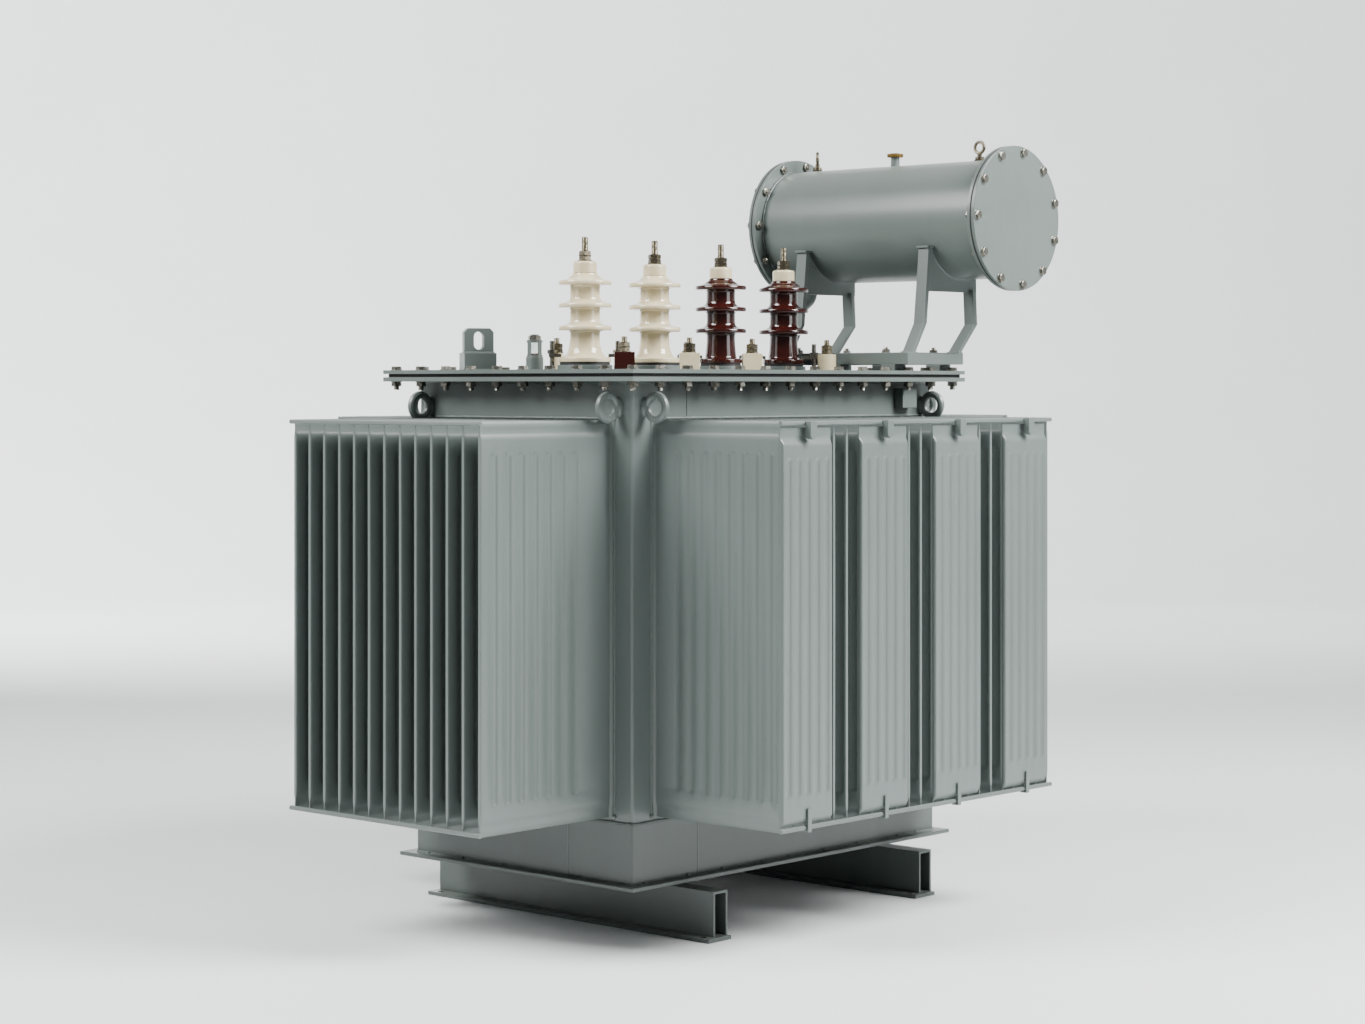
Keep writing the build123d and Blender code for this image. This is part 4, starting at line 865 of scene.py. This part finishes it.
# %% Studs, nuts and low-voltage posts
cap_top = box("hv_caps")[1][2]
lv_places = [(-370.0, -180.0), (-172.0, -180.0), (28.0, -180.0), (280.0, -180.0), (-324.0, 60.0)]
lv_top = box("lv_posts_cream")[1][2]
hv_stud = join(
    rod(8, cover_top - 60, cap_top + 22),
    thread(7, cap_top + 21.9, cap_top + 50, 2.4, 0.9, 24, 4),
)
lv_stud = join(
    rod(7, cover_top - 60, lv_top + 21),
    thread(6, lv_top + 20.9, lv_top + 32, 2.2, 0.8, 24, 4),
)
hv_nuts = join(
    washer(15.5, 2.0, cap_top),
    hex_solid(24, 8.6, cap_top + 2.0),
    washer(13.5, 1.6, cap_top + 10.8),
    hex_solid(24, 8.6, cap_top + 12.4),
)
lv_nuts = join(
    washer(14.5, 2.0, lv_top),
    hex_solid(22, 8.0, lv_top + 2.0),
    washer(13.0, 1.6, lv_top + 10.2),
    hex_solid(22, 8.2, lv_top + 11.8),
)
hv_spots = [(x, HV_ROW, 0) for x in hv_places]
lv_spots = [(x, y, 0) for x, y in lv_places]
studs = join(scatter(hv_stud, hv_spots, rng.uniform(0, 6, 4)), scatter(lv_stud, lv_spots))
put("terminal_studs", studs, dull_brass, "bushing_studs", sharp=40)
nuts = join(
    scatter(hv_nuts, hv_spots, rng.uniform(0, 1, 4)),
    scatter(lv_nuts, lv_spots, rng.uniform(0, 1, 5)),
)
put("terminal_nuts", nuts, dull_brass, "bushing_nuts", slot="zinc_steel", sharp=25)
from_cad("lv_block_brown", brown_glaze, 2.5)
from_cad("lv_posts_cream", cream_glaze, 2.5, 40)
print("terminals:", len(hv_places), "high voltage,", len(lv_places), "low voltage")

# %% [markdown]
# ## Conservator
# The conservator is a rolled drum, welded to a ring flange at each end, with flat bolted
# covers. The near cover is dished by a millimetre in the middle, which shows as a faint
# round patch. All of it is turned round one axis along Y.

# %% Drum, covers and bolts
drum_low, drum_high = box("conservator_shell")
AXIS_X = (drum_low[0] + drum_high[0]) / 2
AXIS_Z = (drum_low[2] + drum_high[2]) / 2
DRUM = (drum_high[2] - drum_low[2]) / 2
centre = (AXIS_X, 0, AXIS_Z)
y0, y1 = drum_low[1], drum_high[1]
rows = np.linspace(y0, y1, 9)
profile = [(DRUM, y) for y in rows] + [(DRUM - 4, y) for y in rows[::-1]]
drum = lathe(profile, centre, "Y", 128, True)
put("conservator_drum", drum, paint, "conservator_shell", sharp=40)
near, far = box("conservator_ends")[0][1], box("conservator_ends")[1][1]
near_cover = [(0, near + 1.6), (40, near + 1.5), (52, near + 0.5), (60, near), (158.8, near)]
near_cover += [(160, near + 1), (160, near + 7.2), (159, near + 8), (0, near + 8)]
far_cover = [(0, far), (158.8, far), (160, far - 1), (160, far - 7.2), (159, far - 8), (6, far - 8)]
far_cover += [(6, far - 40), (0, far - 40)]
ends = join(lathe(near_cover, centre, "Y", 96), lathe(far_cover, centre, "Y", 96))
put("conservator_covers", ends, paint, "conservator_ends", sharp=30)
from_cad("conservator_flanges", paint, 0.8, 40)
from_cad("conservator_gaskets", rubber, 0, 40)


def along_y(shape, way):
    """A shape made along Z, laid along Y; way -1 points its top to the near end."""
    x, y, z = shape[0].T
    return np.stack([x, way * z, y], -1), shape[1]


BOLT_COUNT, BOLT_FIRST, BOLT_CIRCLE, END_STACK = 11, 81, 147, 19
angles = np.radians(BOLT_FIRST + np.arange(BOLT_COUNT) * 360 / BOLT_COUNT)
bolt_ring = (AXIS_X, AXIS_Z) + BOLT_CIRCLE * np.stack([np.cos(angles), np.sin(angles)], -1)
sets = []
for end, way in ((near, -1), (far, 1)):
    for x, z in bolt_ring:
        head = join(washer(10.5, 1.4), hex_solid(17, 5.6, 1.4))
        tail = join(hex_solid(17, 6.5), thread(5, 0, 11, 2.2, 0.6, 10, 2))
        spin = [rng.uniform(0, 1)]
        for part, at, turn_way in ((head, end, way), (tail, end - way * END_STACK, -way)):
            points, quads = along_y(scatter(part, [(0, 0, 0)], spin), turn_way)
            sets.append((points + (x, at, z), quads))
put("conservator_bolt_sets", join(*sets), zinc, "conservator_bolts", sharp=25)
print("conservator", round(y1 - y0), "mm long,", len(sets) // 2, "bolts")

# %% [markdown]
# ## Fittings on the drum
# Two eyebolts lift the drum, and a filler neck with a knurled brass cap stands between
# them. The cap turns, so it rides on its own body.

# %% Eyebolts and filler
drum_top = AXIS_Z + DRUM
EYEBOLTS = ((-398.0, 90.0), (70.0, 42.0))  # place along Y, turn of the ring in degrees
eyes = []
for y, turn in EYEBOLTS:
    across = (cos(radians(turn)), sin(radians(turn)), 0)
    eyes.append(hoop((AXIS_X, y, drum_top + 29.5), across, (0, 0, 1), 12.5, 3.5, 32, 10))
    line = [(0, 0), (11.5, 0), (12.5, 2), (10, 4.5), (10, 9.5), (9, 10), (5, 10.2), (5, 14)]
    line += [(6.2, 16.5), (0, 17)]
    eyes.append(lathe(line, (AXIS_X, y, drum_top - 1), "Z", 24))
put("eyebolts_forged", join(*eyes), dull_brass, "eyebolts", sharp=40)
from_cad("filler_neck", paint, 0.5)
cap_low, cap_high = box("filler_cap")
rim = cap_high[2] - 9
a = np.linspace(0, 2 * pi, 72, endpoint=False)
knurl = 1 + 0.018 * np.sign(np.sin(a * 24))
line = [(0, cap_low[2]), (6.6, cap_low[2]), (6.6, rim), (17.2, rim), (18.1, rim + 1)]
line += [(18.1, rim + 6.8), (17, rim + 8), (12, rim + 8), (11, rim + 9), (0, rim + 9)]
points, quads = lathe(line, (0, 0, 0), "Z", 72)
points = points.reshape(len(line), 72, 3)
points[4:6, :, :2] *= knurl[:, None]
points = points.reshape(-1, 3) + (AXIS_X, (cap_low[1] + cap_high[1]) / 2, 0)
put("filler_cap_knurled", (points, quads), cap_brass, "filler_cap", sharp=30)

# %% [markdown]
# ## Brackets, pipe, gauges and valves
# These keep the shape of the solid model, because they are plain bent bar, plate and
# turned fittings. A copy with its edges broken by a bevel catches light as real cut steel
# does, and short beads show where each is welded.

# %% Steelwork from the model
for node in ("conservator_brackets", "conservator_base"):
    from_cad(node, paint, 1.4)
for node in ("oil_pipe", "valve_lever", "level_dial", "drain_valve", "drain_wheel", "gauge_cage"):
    from_cad(node, paint, 0.7)
from_cad("tap_switch", phenolic, 1.0)
from_cad("tap_knob", phenolic, 1.5)
from_cad("gauge_glass", clear_glass, 0.2)
from_cad("gauge_float", red_enamel, 0.6)
from_cad("dial_pointer", red_enamel, 0.4)
low, high = box("gauge_cap")
middle = ((low[0] + high[0]) / 2, (low[1] + high[1]) / 2, 0)
line = [(0, low[2]), (9, low[2] + 9), (9, high[2] - 1), (8, high[2]), (0, high[2])]
cap = join(hex_solid(24, 9.5, low[2]), lathe(line))
put("gauge_cap_turned", scatter(cap, [middle]), zinc, "gauge_cap", sharp=25)
hidden = (
    ("core", steel_sheets),
    ("core_clamps", paint),
    ("lv_coils", copper),
    ("hv_coils", paper),
    ("float_arm", red_enamel),
)
for node, finish in hidden:
    for holder in frame["nodes"][node].material_slots:
        holder.material = finish

# %% [markdown]
# Short beads close each joint between these fittings: round the drum at its flanges and
# saddles, round the feet of the legs, and round the lug and its block. Four bolts hold the
# base frame.

# %% Short welds and frame bolts
BRACKETS, LEG_FEET = (-345.0, 5.0), (362.0, 528.0)
LUG, LUG_TURN = (-450.0, 168.0), radians(-28)


def arc_on_drum(angles, y, proud):
    """Points on the drum's skin, proud of it, at those angles from +X towards +Z."""
    r = DRUM + proud
    return np.stack([AXIS_X + r * np.cos(angles), 0 * angles + y, AXIS_Z + r * np.sin(angles)], -1)


def line_round_lug(half_x, half_y, up):
    """A closed rectangle about the lug's middle, turned with the lug."""
    x, y = half_x * np.array([-1, 1, 1, -1, -1]), half_y * np.array([-1, -1, 1, 1, -1])
    c, s = cos(LUG_TURN), sin(LUG_TURN)
    return np.stack([LUG[0] + x * c - y * s, LUG[1] + x * s + y * c, 0 * x + up], -1)


more = []
for end, inward in ((y0, 1), (y1, -1)):
    more.append(bead(arc_on_drum(np.linspace(0, 2 * pi, 160), end + inward * 1.5, 1), 2.6))
frame_top = box("conservator_base")[1][2]
for y in BRACKETS:
    for side in (-3.5, 3.5):
        arc = arc_on_drum(np.radians(np.linspace(212, 292, 40)), y + side, 0.5)
        more.append(bead(arc, 2.2))
    for x in LEG_FEET:
        for side in (-1, 1):
            z = frame_top + 0.5
            more.append(bead([(x - 7 * side, y - 14, z), (x - 7 * side, y + 14, z)], 2.2))
            more.append(bead([(x - 7, y - 14.5 * side, z), (x + 7, y - 14.5 * side, z)], 2.2))
more.append(bead(line_round_lug(35, 21, cover_top + 0.5), 2.4))
more.append(bead(line_round_lug(32, 9, cover_top + 36.5), 2.2))
put("fitting_welds", join(*more), paint, slot="tank_paint", sharp=60)
bolt = join(
    washer(10, 1.5, frame_top),
    hex_solid(16, 6, frame_top + 1.5),
    thread(5, frame_top + 5, frame_top + 13, 2.2, 0.6, 10, 2),
)
places = [(x, y, 0) for x in (351.0, 523.0) for y in (-290.0, -40.0)]
bolts = scatter(bolt, places, rng.uniform(0, 1, 4))
put("frame_bolts", bolts, zinc, slot="zinc_steel", sharp=25)
print("fittings done;", len(more), "short beads")

# %% [markdown]
# ## Studio
# The machine stands on a pale floor that sweeps up behind it into a wall with no corner,
# and sinks back to a flat floor on the camera's side. Two large soft keys hang high, one
# before the long side and one beside the left end, with a weak low fill near each. Two more
# lamps light only the wall. Little light comes from the camera, so recesses stay dark.

# %% Floor and lights
floor_paint, floor_tree, floor_shader = new_finish("matt_studio_paint", Roughness=0.62, IOR=1.45)
floor_tone = noise(floor_tree, 900, detail=2)
floor_colour = ramp(floor_tree, floor_tone, [(0.3, "E4E6E6"), (0.7, "E7E9E9")])
floor_tree.links.new(floor_colour, floor_shader.inputs["Base Color"])
BACK = radians(42.31)
sweep = [(0, 0), (9000, 0)]
sweep += [(9000 + 5000 * sin(t), 5000 - 5000 * cos(t)) for t in np.linspace(0.05, pi / 2, 24)]
sweep += [(14000, 11000)]
points, quads = lathe(sweep, turns=96)
behind = np.cos(np.arctan2(points[:, 1], points[:, 0]) - BACK)
points[:, 2] *= fade((behind + 0.25) / 0.5)
floor_mesh = bpy.data.meshes.new("studio_sweep")
floor_mesh.from_pydata((points * 0.001).tolist(), [], quads.tolist())
floor_mesh.polygons.foreach_set("use_smooth", np.ones(len(quads), bool))
floor_mesh.materials.append(floor_paint)
floor = bpy.data.objects.new("studio_sweep", floor_mesh)
bpy.context.scene.collection.objects.link(floor)


def soft_light(name, place, aim, size, power, colour="FFFFFF"):
    """A square area light at a place, turned to shine at the aim."""
    data = bpy.data.lights.new(name, "AREA")
    data.shape = "RECTANGLE"
    data.size, data.size_y = size
    data.energy = power
    data.color = srgb(colour)[:3]
    lamp = bpy.data.objects.new(name, data)
    bpy.context.scene.collection.objects.link(lamp)
    lamp.location = place
    lamp.rotation_euler = (Vector(aim) - Vector(place)).to_track_quat("-Z", "Y").to_euler()
    lamp.visible_camera = False
    return lamp


soft_light("key_right", (1.6, -3.8, 4.2), (0, 0, 0.9), (2.6, 2.6), 850)
soft_light("key_left", (-3.6, 1.6, 4.2), (0, 0, 0.9), (2.6, 2.6), 520)
soft_light("low_right", (1.8, -6.0, 2.2), (0, 0, 1.1), (3.0, 2.0), 90)
soft_light("low_left", (-6.0, 2.2, 2.2), (0, 0, 1.1), (3.0, 2.0), 40)
soft_light("wall_left", (1.5, 6.5, 4.5), (6.5, 10.0, 2.5), (3.0, 3.0), 1250)
soft_light("wall_right", (6.5, 1.5, 4.5), (10.0, 6.0, 2.5), (3.0, 3.0), 330)
world = bpy.data.worlds.new("studio_air")
bpy.context.scene.world = world
world.use_nodes = True
world.node_tree.nodes["Background"].inputs["Color"].default_value = srgb("F2F4F6")
world.node_tree.nodes["Background"].inputs["Strength"].default_value = 0.1
print("studio ready")
